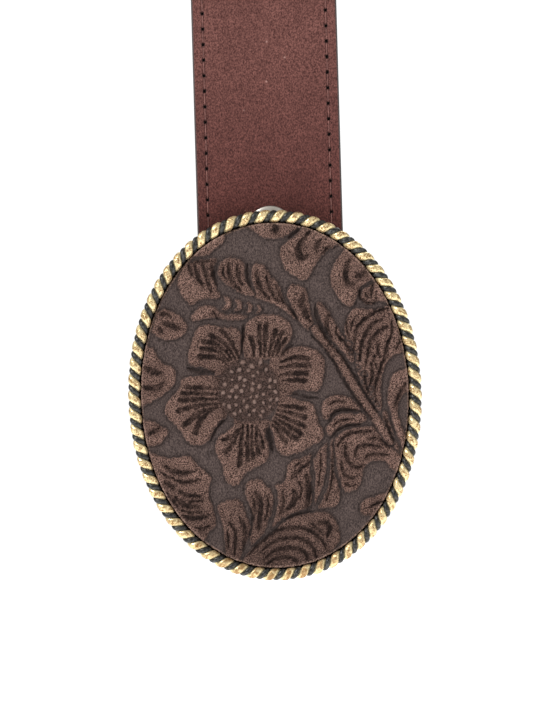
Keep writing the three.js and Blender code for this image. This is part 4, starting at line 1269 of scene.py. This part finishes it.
def build_plate():
    """The back plate: a bent oval with a rolled rim, painted near black on its front under the leather as
    painted shadow in the gap round the leather.
    """
    half = (PLATE_HIGH[0] - PLATE_LOW[0]) / 2
    profile = plate_profile(half)
    front, back = profile[0][1], profile[-1][1]
    angle = np.linspace(0, 2 * np.pi, PLATE_SEGMENTS, endpoint=False)
    points = []
    for share, y in profile[1:-1]:
        x, z = oval_ring(np.full(PLATE_SEGMENTS, share * half), angle)
        points += [(px, y + bend_mm(pz), pz + CENTRE_Z_MM) for px, pz in zip(x, z)]
    rings = len(profile) - 2
    faces = ring_faces(rings, PLATE_SEGMENTS)
    for ring, y in ((0, front), (rings - 1, back)):
        close_with_fan(points, faces, ring, PLATE_SEGMENTS, (0, y, CENTRE_Z_MM))
    piece = turn_out(make_object("bent_plate", points, faces, PLATE_BRASS))
    # Painted shadow: the front rings, seen only through the gap round the leather, are painted near black.
    gap_shadowed = [1.0 if y <= front else 0.0 for share, y in profile[1:-1]]
    set_attribute(piece, "gap_shadow", [*np.repeat(gap_shadowed, PLATE_SEGMENTS), 1.0, 0.0])
    fit(piece, "plate_metal", "buckle", "back_plate")


# ------------------------------------------------------------------ buckle back

# The flat pads are let into the bent plate by this much, so that no gap shows.
HINGE_PAD_SINK_MM = 0.35
HOOK_PAD_SINK_MM = 0.95

TUBE_RADIUS_MM = 2.5
TUBE_BORE_RADIUS_MM = 1.95
TUBE_SOFT_MM = 0.15
TUBE_SEGMENTS = 48
SADDLE_BEVEL_MM = 0.35


def build_hinge():
    """The tube that the wire loop turns in, and the saddle that holds it to the plate."""
    outer, bore, soft = TUBE_RADIUS_MM, TUBE_BORE_RADIUS_MM, TUBE_SOFT_MM
    half = TUBE_HIGH[0]
    profile = [
        (-half + soft, outer), (half - soft, outer), (half, outer - soft), (half, bore + soft),
        (half - soft, bore), (-half + soft, bore), (-half, bore + soft), (-half, outer - soft),
    ]
    points = []
    for x, radius in profile:
        for a in np.linspace(0, 2 * np.pi, TUBE_SEGMENTS, endpoint=False):
            points.append((x, HINGE_Y_MM + radius * math.cos(a), HINGE_Z_MM + radius * math.sin(a)))
    faces = ring_faces(len(profile), TUBE_SEGMENTS, close_rings=True)
    knuckle = turn_out(make_object("hinge_barrel", points, faces, PLATE_BRASS))
    low = HINGE_PAD_LOW - np.array([0, HINGE_PAD_SINK_MM, 0])
    corners = [(x, y, z) for x in (low[0], HINGE_PAD_HIGH[0]) for y in (low[1], HINGE_PAD_HIGH[1])
               for z in (low[2], HINGE_PAD_HIGH[2])]
    quads = [(0, 1, 3, 2), (4, 6, 7, 5), (0, 4, 5, 1), (2, 3, 7, 6), (0, 2, 6, 4), (1, 5, 7, 3)]
    saddle = bevelled(turn_out(make_object("hinge_saddle", corners, quads, PLATE_BRASS)), SADDLE_BEVEL_MM)
    fit(knuckle, "plate_metal", "buckle", "hinge_tube")
    fit(saddle, "plate_metal", "buckle", "hinge_pad")


HOOK_RADIUS_MM = 1.9
HOOK_REACH_MM = 8.6
HOOK_LEAN_MM = 3.2
HOOK_STRAIGHT_SHARE = 0.6
HOOK_STEPS = 22


def build_hook():
    """The hook: a round foot and a peg that leans up and ends in a rounded tip."""
    pad_z = (HOOK_PAD_LOW[2] + HOOK_PAD_HIGH[2]) / 2
    low_y, high_y = HOOK_PAD_LOW[1] - HOOK_PAD_SINK_MM, HOOK_PAD_HIGH[1]
    pad = turned("hook_foot", [
        (0, low_y), (4.8, low_y), (5.0, low_y + 0.2), (5.0, high_y - 0.5), (4.9, high_y - 0.22),
        (4.6, high_y - 0.05), (3.2, high_y), (0, high_y),
    ], pad_z, PLATE_BRASS)
    foot = np.array([0, HOOK_LOW[1], pad_z])
    knee = foot + np.array([0, HOOK_STRAIGHT_SHARE * HOOK_REACH_MM, 0])
    tip = foot + np.array([0, HOOK_REACH_MM, HOOK_LEAN_MM])
    share = np.linspace(0, 1, HOOK_STEPS)[:, None]
    path = (1 - share) ** 2 * foot + 2 * share * (1 - share) * knee + share**2 * tip
    radii = [HOOK_RADIUS_MM] * HOOK_STEPS
    onward = path[-1] - path[-2]
    onward /= np.linalg.norm(onward)
    last = path[-1]
    for step in (0.12, 0.24, 0.34, 0.42, 0.47, 0.5):
        path = np.vstack([path, last + onward * step])
        radii.append(HOOK_RADIUS_MM * math.sqrt(max(0.02, 1 - (step / 0.505) ** 2)))
    prong = tube("hook_peg", path, radii, ROUND_SIDES, PLATE_BRASS)
    fit(pad, "plate_metal", "buckle", "hook_pad")
    fit(prong, "plate_metal", "buckle", "hook_prong")


WIRE_RADIUS_MM = 1.6
LOOP_CORNER_MM = 4.0
LOOP_END_X_MM = 7.0
LOOP_HEIGHT_MM = math.hypot(HINGE_Y_MM - BAR_Y_MM, HINGE_Z_MM - BAR_Z_MM)


def loop_place(x, down):
    """A point of the loop's plane, which runs from the bar in the strap's fold down to the hinge."""
    share = down / LOOP_HEIGHT_MM
    return (x, BAR_Y_MM + (HINGE_Y_MM - BAR_Y_MM) * share, BAR_Z_MM + (HINGE_Z_MM - BAR_Z_MM) * share)


def build_loop():
    """The wire loop: five straight runs with rounded corners, open where its ends meet in the hinge."""
    half = LOOP_HIGH[0] - WIRE_RADIUS_MM
    flat = [(-LOOP_END_X_MM, LOOP_HEIGHT_MM)]
    corners = ((-1, LOOP_HEIGHT_MM, 90), (-1, 0, 180), (1, 0, 270), (1, LOOP_HEIGHT_MM, 360))
    for side, down, turn_start in corners:
        centre_x = side * (half - LOOP_CORNER_MM)
        centre_down = down - LOOP_CORNER_MM if down else LOOP_CORNER_MM
        for a in np.radians(np.linspace(turn_start, turn_start + 90, 10)):
            flat.append((centre_x + LOOP_CORNER_MM * math.cos(a), centre_down + LOOP_CORNER_MM * math.sin(a)))
    flat.append((LOOP_END_X_MM, LOOP_HEIGHT_MM))
    path = []
    for (x0, d0), (x1, d1) in zip(flat[:-1], flat[1:]):
        steps = max(1, round(math.hypot(x1 - x0, d1 - d0) / 2))
        for i in range(steps):
            path.append(loop_place(x0 + (x1 - x0) * i / steps, d0 + (d1 - d0) * i / steps))
    path.append(loop_place(*flat[-1]))
    normal = np.cross([1, 0, 0], np.array(loop_place(0, LOOP_HEIGHT_MM)) - np.array(loop_place(0, 0)))
    normal /= np.linalg.norm(normal)
    guides = np.tile(normal, (len(path), 1))
    piece = tube("bent_wire", path, WIRE_RADIUS_MM, ROUND_SIDES, WIRE_BRASS, guides=guides)
    fit(piece, "wire_metal", "loop", "wire_loop")


# ------------------------------------------------------------------ strap and tab

STRAP_HALF_MM = FACE_HIGH[0]
STRAP_TOP_MM = FACE_HIGH[2]
TAB_TOP_MM = TAB_FACE_HIGH[2]
FACE_MM = FACE_HIGH[1] - FACE_LOW[1]
LEATHER_MM = LINING_HIGH[1] - FACE_LOW[1]
LAYER_GAP_MM = 0.02
SHEET_SOFT_MM = 0.5
FOLD_OUTER_MM = BAR_Z_MM - FOLD_LOW[2]

STITCH_INSET_MM = 2.9
STITCH_X_MM = STRAP_HALF_MM - STITCH_INSET_MM
STITCH_PITCH_MM = 4.1
STITCH_SHIFT_MM = 0.9
PIT_RADIUS_MM = 0.42
PIT_NARROWING = 0.72
PIT_DEPTH_MM = 0.7
CHANNEL_HALF_MM = 0.45
CHANNEL_DEPTH_MM = 0.1
WORKED_HALF_MM = 0.8
STATION_MM = 0.27
THREAD_SIDES = 8
THREAD_RADIUS_MM = 0.14
THREAD_DIVE_MM = 1.2
THREAD_LIFT_MM = 0.02

STRAIGHT_MM = STRAP_TOP_MM - BAR_Z_MM
FOLD_LENGTH_MM = math.pi * FOLD_OUTER_MM
TAB_MM = TAB_TOP_MM - BAR_Z_MM
TOTAL_MM = STRAIGHT_MM + FOLD_LENGTH_MM + TAB_MM


def strap_place(along, depth):
    """y and z of a point of the folded strap: along from its top end, depth in from its outer face."""
    along, depth = np.broadcast_arrays(np.asarray(along, float), np.asarray(depth, float))
    turn = np.clip((along - STRAIGHT_MM) / FOLD_LENGTH_MM, 0, 1) * np.pi
    radius = FOLD_OUTER_MM - depth
    y = BAR_Y_MM - radius * np.cos(turn)
    z = BAR_Z_MM - radius * np.sin(turn)
    z = np.where(along < STRAIGHT_MM, BAR_Z_MM + STRAIGHT_MM - along, z)
    z = np.where(along > STRAIGHT_MM + FOLD_LENGTH_MM, BAR_Z_MM + along - STRAIGHT_MM - FOLD_LENGTH_MM, z)
    return y, z


def stitch_holes():
    """The needle holes as (x, along), the side rows' places along and the end rows' places across."""
    length = TOTAL_MM - 2 * STITCH_INSET_MM
    pitch = length / round(length / STITCH_PITCH_MM)
    rows = np.arange(STITCH_INSET_MM, TOTAL_MM - STITCH_INSET_MM + 0.01, pitch)
    rows[1:-1] += STITCH_SHIFT_MM
    across = np.linspace(-STITCH_X_MM, STITCH_X_MM, round(2 * STITCH_X_MM / STITCH_PITCH_MM) + 1)
    ends = (STITCH_INSET_MM, TOTAL_MM - STITCH_INSET_MM)
    holes = [(side * STITCH_X_MM, along) for side in (-1, 1) for along in rows]
    holes += [(x, along) for x in across[1:-1] for along in ends]
    return np.array(holes), rows, across


def strap_columns():
    """x places across the strap: close together over the stitch rows and the rounded edges."""
    outside = np.linspace(STITCH_X_MM + WORKED_HALF_MM, STRAP_HALF_MM - SHEET_SOFT_MM, 6)
    row = np.linspace(STITCH_X_MM - WORKED_HALF_MM, STITCH_X_MM + WORKED_HALF_MM, 11)[:-1]
    inside = np.linspace(0, STITCH_X_MM - WORKED_HALF_MM, 46)[:-1]
    half = np.concatenate([inside, row, outside])
    return np.concatenate([-half[:0:-1], half])


def strap_stations():
    """Places down the strap, close together so that every needle hole is round."""
    ends = np.array([0.0, 0.08, 0.2, 0.35, 0.5])
    inner = np.arange(0.75, TOTAL_MM - 0.7, STATION_MM)
    return np.concatenate([ends, inner, TOTAL_MM - ends[::-1]])


def sheet_section(outer_depth, inner_depth, outer_columns, inner_columns):
    """A sheet's cross-section, once round, as rows of (x, depth, 1 on the painted edge)."""
    middle = (outer_depth + inner_depth) / 2
    soft = min(SHEET_SOFT_MM, (inner_depth - outer_depth) / 2)

    def corner(side, depth, degrees):
        """Points round one soft edge, turned from the outer side through the right to the inner."""
        centre = side * (STRAP_HALF_MM - soft)
        return [(centre + soft * math.sin(a), depth - soft * math.cos(a), 1.0) for a in np.radians(degrees)]

    quarter = np.linspace(0, 90, 5)
    section = [(x, outer_depth, 0.0) for x in outer_columns]
    section += corner(1, outer_depth + soft, quarter[1:])
    section += [(STRAP_HALF_MM, middle, 1.0)]
    section += corner(1, inner_depth - soft, quarter + 90)
    section += [(x, inner_depth, 0.0) for x in inner_columns[::-1]]
    section += corner(-1, inner_depth - soft, quarter + 180)
    section += [(-STRAP_HALF_MM, middle, 1.0)]
    section += corner(-1, outer_depth + soft, quarter[:-1] + 270)
    return np.array(section)


def stitch_marks(x, along, holes):
    """How far each point lies in a needle hole and in the channel between holes, both from 0 to 1."""
    pit = np.zeros(len(x))
    for hole_x, hole_along in holes:
        reach = np.hypot(x - hole_x, (along - hole_along) * PIT_NARROWING)
        pit = np.maximum(pit, smooth_step((1.25 - reach / PIT_RADIUS_MM) / 0.5))
    first, last = holes[:, 1].min(), holes[:, 1].max()
    from_side = np.abs(np.abs(x) - STITCH_X_MM)
    from_end = np.minimum(np.abs(along - first), np.abs(along - last))
    channel = smooth_step(1.2 - from_side / CHANNEL_HALF_MM) * (along > first) * (along < last)
    across = smooth_step(1.2 - from_end / CHANNEL_HALF_MM) * (np.abs(x) < STITCH_X_MM)
    return pit, np.maximum(channel, across)


def leather_sheet(name, outer_depth, inner_depth, material, worked_outside, holes):
    """One layer of the strap: a closed folded sheet with rounded edges, marked by stitching on one side."""
    along = strap_stations()
    fine = strap_columns()
    plain = np.linspace(-STRAP_HALF_MM + 1, STRAP_HALF_MM - 1, 9)
    columns = (fine, plain) if worked_outside else (plain, fine)
    section = sheet_section(outer_depth, inner_depth, *columns)
    size, count = len(section), len(along)
    x, depth, edge = (np.tile(values, count) for values in section.T)
    way = np.repeat(along, size)
    worked_depth, inward = (outer_depth, 1) if worked_outside else (inner_depth, -1)
    worked = (depth == worked_depth) & (edge == 0)
    pit, channel = stitch_marks(x, way, holes)
    pit = pit * worked
    depth = depth + inward * (CHANNEL_DEPTH_MM * channel * worked + PIT_DEPTH_MM * pit)
    from_end = np.minimum(way - along[0], along[-1] - way)
    rounding = np.clip(1 - from_end / SHEET_SOFT_MM, 0, 1)
    middle = (outer_depth + inner_depth) / 2
    depth = middle + (depth - middle) * (1 - 0.45 * (1 - np.sqrt(1 - rounding**2)))
    y, z = strap_place(way, depth)
    faces = ring_faces(count, size)
    faces.append(tuple(range(size)))
    faces.append(tuple((count - 1) * size + j for j in range(size)))
    piece = make_object(name, np.stack([x, y, z], 1), faces, material)
    set_attribute(piece, "edge", np.maximum(edge, (from_end < 0.3).astype(float)))
    set_attribute(piece, "pit", pit)
    return turn_out(piece)


def crossing(piece, slot, *nodes):
    """Hides the CAD pieces that a strap piece replaces and bakes the piece's placement into its points. slot
    is not used.
    """
    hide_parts(*nodes)
    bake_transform(piece)


def thread_lift(from_hole):
    """Height of the thread's middle over the leather: down in a hole, lying flat away from it."""
    dive = 1 - float(smooth_step((from_hole - 0.2) / 0.6))
    return THREAD_LIFT_MM - (THREAD_DIVE_MM + THREAD_LIFT_MM) * dive


def thread_line(holes):
    """A thread through a row of holes as (place, lift), close together where it dives into a hole."""
    line = []
    for start, end in zip(holes[:-1], holes[1:]):
        for share in (0, 0.06, 0.1, 0.14, 0.18, 0.24, 0.4, 0.6, 0.76, 0.82, 0.86, 0.9, 0.94):
            place = start + (end - start) * share
            line.append((place, thread_lift(min(abs(place - start), abs(end - place)))))
    return line


def thread_point(x, along, lift, outer):
    """A point of the thread, lifted off the strap's outer or inner side."""
    y, z = strap_place(along, -lift if outer else LEATHER_MM + lift)
    return (x, float(y), float(z))


def thread_runs(outer, rows, across):
    """The four threads of one side: down both edges, then across both ends."""
    runs = []
    for side in (-1, 1):
        line = [*thread_line(rows), (rows[-1], -THREAD_DIVE_MM)]
        runs.append([thread_point(side * STITCH_X_MM, place, lift, outer) for place, lift in line])
    for end in (rows[0], rows[-1]):
        runs.append([thread_point(place, end, lift, outer) for place, lift in thread_line(across)])
    return runs


def join(name, pieces):
    """Makes one object of several that share a material."""
    points, faces = [], []
    for piece in pieces:
        offset = len(points)
        points += [tuple(v.co / MM) for v in piece.data.vertices]
        faces += [tuple(offset + i for i in p.vertices) for p in piece.data.polygons]
    material = pieces[0].data.materials[0]
    for piece in pieces:
        bpy.data.objects.remove(piece)
    return make_object(name, points, faces, material)


def build_strap():
    """The strap's two layers of leather and the stitching on both of its sides."""
    holes, rows, across = stitch_holes()
    face = leather_sheet("strap_face_leather", 0.0, FACE_MM, STRAP_LEATHER, True, holes)
    crossing(face, "strap_leather", "strap_face", "tab_face", "strap_fold")
    lining_depth = FACE_MM + LAYER_GAP_MM
    lining = leather_sheet("strap_lining_leather", lining_depth, LEATHER_MM, LINING_LEATHER, False, holes)
    crossing(lining, "lining_leather", "strap_lining", "tab_lining")
    for outer, name, nodes in (
        (True, "outer_stitching", ("strap_front_thread", "tab_outer_thread")),
        (False, "inner_stitching", ("strap_back_thread", "tab_inner_thread")),
    ):
        runs = thread_runs(outer, rows, across)
        threads = []
        for i, run in enumerate(runs):
            threads.append(tube(f"{name}_{i}", run, THREAD_RADIUS_MM, THREAD_SIDES, THREAD))
        crossing(join(name, threads), "thread", *nodes)


# ------------------------------------------------------------------ snaps


CAP_RADIUS_MM = 6.2
CAP_DOME_MM = 0.95
CAP_POST_RADIUS_MM = 1.5
CAP_SEGMENTS = 96


def build_snap(place):
    """One snap: cap and socket on the strap, stud and rivet on the tab. Profiles are (radius, y)."""
    cap_low, cap_high = box_mm(f"snap_cap_{place}")
    socket_low, socket_high = box_mm(f"snap_socket_{place}")
    stud_low, stud_high = box_mm(f"snap_stud_{place}")
    post_low, post_high = box_mm(f"snap_post_{place}")
    z = (cap_low[2] + cap_high[2]) / 2
    face = FACE_LOW[1]
    top = cap_low[1]
    cap_profile = [(0, top)]
    for degrees in range(8, 91, 8):
        a = math.radians(degrees)
        radius = CAP_RADIUS_MM * math.sin(a) ** 0.9
        cap_profile.append((radius, top + CAP_DOME_MM * (1 - math.cos(a) ** 0.8)))
    cap_profile += [(CAP_RADIUS_MM, face - 0.2), (CAP_RADIUS_MM - 0.15, face), (CAP_POST_RADIUS_MM, face)]
    cap_profile += [(CAP_POST_RADIUS_MM, cap_high[1]), (0, cap_high[1])]
    cap = turned(f"snap_button_{place}", cap_profile, z, NICKEL, CAP_SEGMENTS)

    back, end = socket_low[1], socket_high[1]
    socket = turned(f"snap_ring_{place}", [
        (1.8, back), (4.85, back), (5.0, back + 0.15), (5.0, back + 0.6), (4.6, back + 0.9),
        (4.2, back + 1.1), (4.2, end - 0.5), (4.05, end - 0.15), (3.75, end), (3.45, end - 0.1),
        (3.3, end - 0.4), (3.3, back + 0.9), (1.8, back + 0.9),
    ], z, NICKEL)

    tip, base = stud_low[1], stud_high[1]
    stud = turned(f"snap_nub_{place}", [
        (0, tip), (1.7, tip), (2.3, tip + 0.12), (2.55, tip + 0.4), (2.6, tip + 0.75), (2.45, tip + 1.05),
        (2.15, tip + 1.35), (2.15, base - 0.85), (2.4, base - 0.75), (4.0, base - 0.7), (4.2, base - 0.5),
        (4.2, base), (1.8, base), (1.8, base - 0.6), (0, base - 0.6),
    ], z, NICKEL)

    shank, outer, crown = post_low[1], TAB_FACE_HIGH[1], post_high[1]
    post = turned(f"snap_rivet_{place}", [
        (0, shank), (1.5, shank), (1.5, outer), (4.7, outer), (4.8, outer + 0.15), (4.72, outer + 0.4),
        (4.3, outer + 0.75), (3.6, crown - 0.08), (2.9, crown), (2.3, crown - 0.02), (1.9, crown - 0.25),
        (1.3, crown - 0.38), (0, crown - 0.4),
    ], z, NICKEL)

    fit(cap, "snap_metal", "strap", f"snap_cap_{place}")
    fit(socket, "snap_metal", "strap", f"snap_socket_{place}")
    fit(stud, "snap_metal", "strap_tab", f"snap_stud_{place}")
    fit(post, "snap_metal", "strap_tab", f"snap_post_{place}")


def finish_adhesive():
    """The adhesive film keeps its CAD shape and gets its own finish."""
    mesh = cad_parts["insert_adhesive"].data
    mesh.materials.clear()
    mesh.materials.append(ADHESIVE)


# ------------------------------------------------------------------ camera, light and floor

SENSOR_WIDTH_MM = 36.0
CAMERA_DISTANCE_MM = 1000.0
FRAME_HEIGHT_MM = 183.9
AIM_MM = (-2.2, 10.3)
LEAN_DEGREES = 1.65

FLOOR_Z_MM = -450.0
FLOOR_REACH_MM = 6000.0
FLOOR_GLOW = 0.95

WHITE = (1, 1, 1, 1)
BACKDROP_STRENGTH = 1.1

# The world's light is stronger from above: (height of the direction, strength) at both ends.
SKY_LOW = (-0.3, 0.26)
SKY_HIGH = (0.9, 0.66)


def build_camera():
    """The camera looks along y at the aim point, leaned a little about its line of sight."""
    data = bpy.data.cameras.new("camera")
    camera = bpy.data.objects.new("camera", data)
    bpy.context.scene.collection.objects.link(camera)
    data.sensor_width = SENSOR_WIDTH_MM
    data.lens = SENSOR_WIDTH_MM * CAMERA_DISTANCE_MM / FRAME_HEIGHT_MM
    lean = math.radians(LEAN_DEGREES)
    across = Vector((math.cos(lean), 0, -math.sin(lean)))
    upward = Vector((math.sin(lean), 0, math.cos(lean)))
    backward = Vector((0, -1, 0))
    aim = across * AIM_MM[0] + upward * AIM_MM[1]
    camera.location = (
        aim.x * MM, (ROPE_LOW[1] - CAMERA_DISTANCE_MM) * MM, (CENTRE_Z_MM + aim.z) * MM,
    )
    camera.rotation_euler = Matrix((across, upward, backward)).transposed().to_euler()
    bpy.context.scene.camera = camera


def build_floor():
    """A pale floor far under the object."""
    reach = FLOOR_REACH_MM
    corners = [(-reach, -reach), (reach, -reach), (reach, reach), (-reach, reach)]
    paint = Paint(
        "pale_floor", Base_Color=(0.95, 0.95, 0.95, 1), Roughness=0.9, Emission_Color=WHITE,
        Emission_Strength=FLOOR_GLOW,
    )
    floor = make_object("floor", [(x, y, FLOOR_Z_MM) for x, y in corners], [(0, 1, 2, 3)], paint.material)


def build_world():
    """White behind the object, and a soft light from all round that is stronger from above."""
    world = bpy.data.worlds.new("studio")
    bpy.context.scene.world = world
    world.use_nodes = True
    nodes, links = world.node_tree.nodes, world.node_tree.links
    sky = nodes["Background"]
    sky.inputs["Color"].default_value = WHITE
    backdrop = nodes.new("ShaderNodeBackground")
    backdrop.inputs["Color"].default_value = WHITE
    backdrop.inputs["Strength"].default_value = BACKDROP_STRENGTH
    direction = nodes.new("ShaderNodeTexCoord")
    split = nodes.new("ShaderNodeSeparateXYZ")
    ramp = nodes.new("ShaderNodeMapRange")
    ramp.inputs["From Min"].default_value, ramp.inputs["To Min"].default_value = SKY_LOW
    ramp.inputs["From Max"].default_value, ramp.inputs["To Max"].default_value = SKY_HIGH
    links.new(direction.outputs["Generated"], split.inputs[0])
    links.new(split.outputs["Z"], ramp.inputs["Value"])
    links.new(ramp.outputs["Result"], sky.inputs["Strength"])
    path = nodes.new("ShaderNodeLightPath")
    mix = nodes.new("ShaderNodeMixShader")
    links.new(path.outputs["Is Camera Ray"], mix.inputs[0])
    links.new(sky.outputs[0], mix.inputs[1])
    links.new(backdrop.outputs[0], mix.inputs[2])
    links.new(mix.outputs[0], nodes["World Output"].inputs["Surface"])


def build_lamp(name, place_m, size_m, watts):
    """A square area lamp that faces the buckle's middle."""
    data = bpy.data.lights.new(name, "AREA")
    data.shape = "RECTANGLE"
    data.size = size_m
    data.size_y = size_m
    data.energy = watts
    lamp = bpy.data.objects.new(name, data)
    bpy.context.scene.collection.objects.link(lamp)
    lamp.location = place_m
    target = Vector((0, 0, CENTRE_Z_MM * MM))
    lamp.rotation_euler = (target - Vector(place_m)).to_track_quat("-Z", "Y").to_euler()


def set_display():
    """Plain display colours, so that white stays white."""
    bpy.context.scene.view_settings.view_transform = "Standard"
    bpy.context.scene.view_settings.look = "None"


# ------------------------------------------------------------------ the whole scene

build_camera()
build_floor()
build_world()
build_lamp("key", (-0.75, -0.55, 0.75), 0.3, 12.0)
build_lamp("fill", (0.9, -0.6, 0.2), 0.6, 1.6)
build_lamp("back", (0.3, 0.9, 0.7), 0.6, 5.0)
set_display()
build_insert()
build_rope()
build_plate()
build_hinge()
build_hook()
build_loop()
build_strap()
for snap_place in ("upper", "lower"):
    build_snap(snap_place)
finish_adhesive()
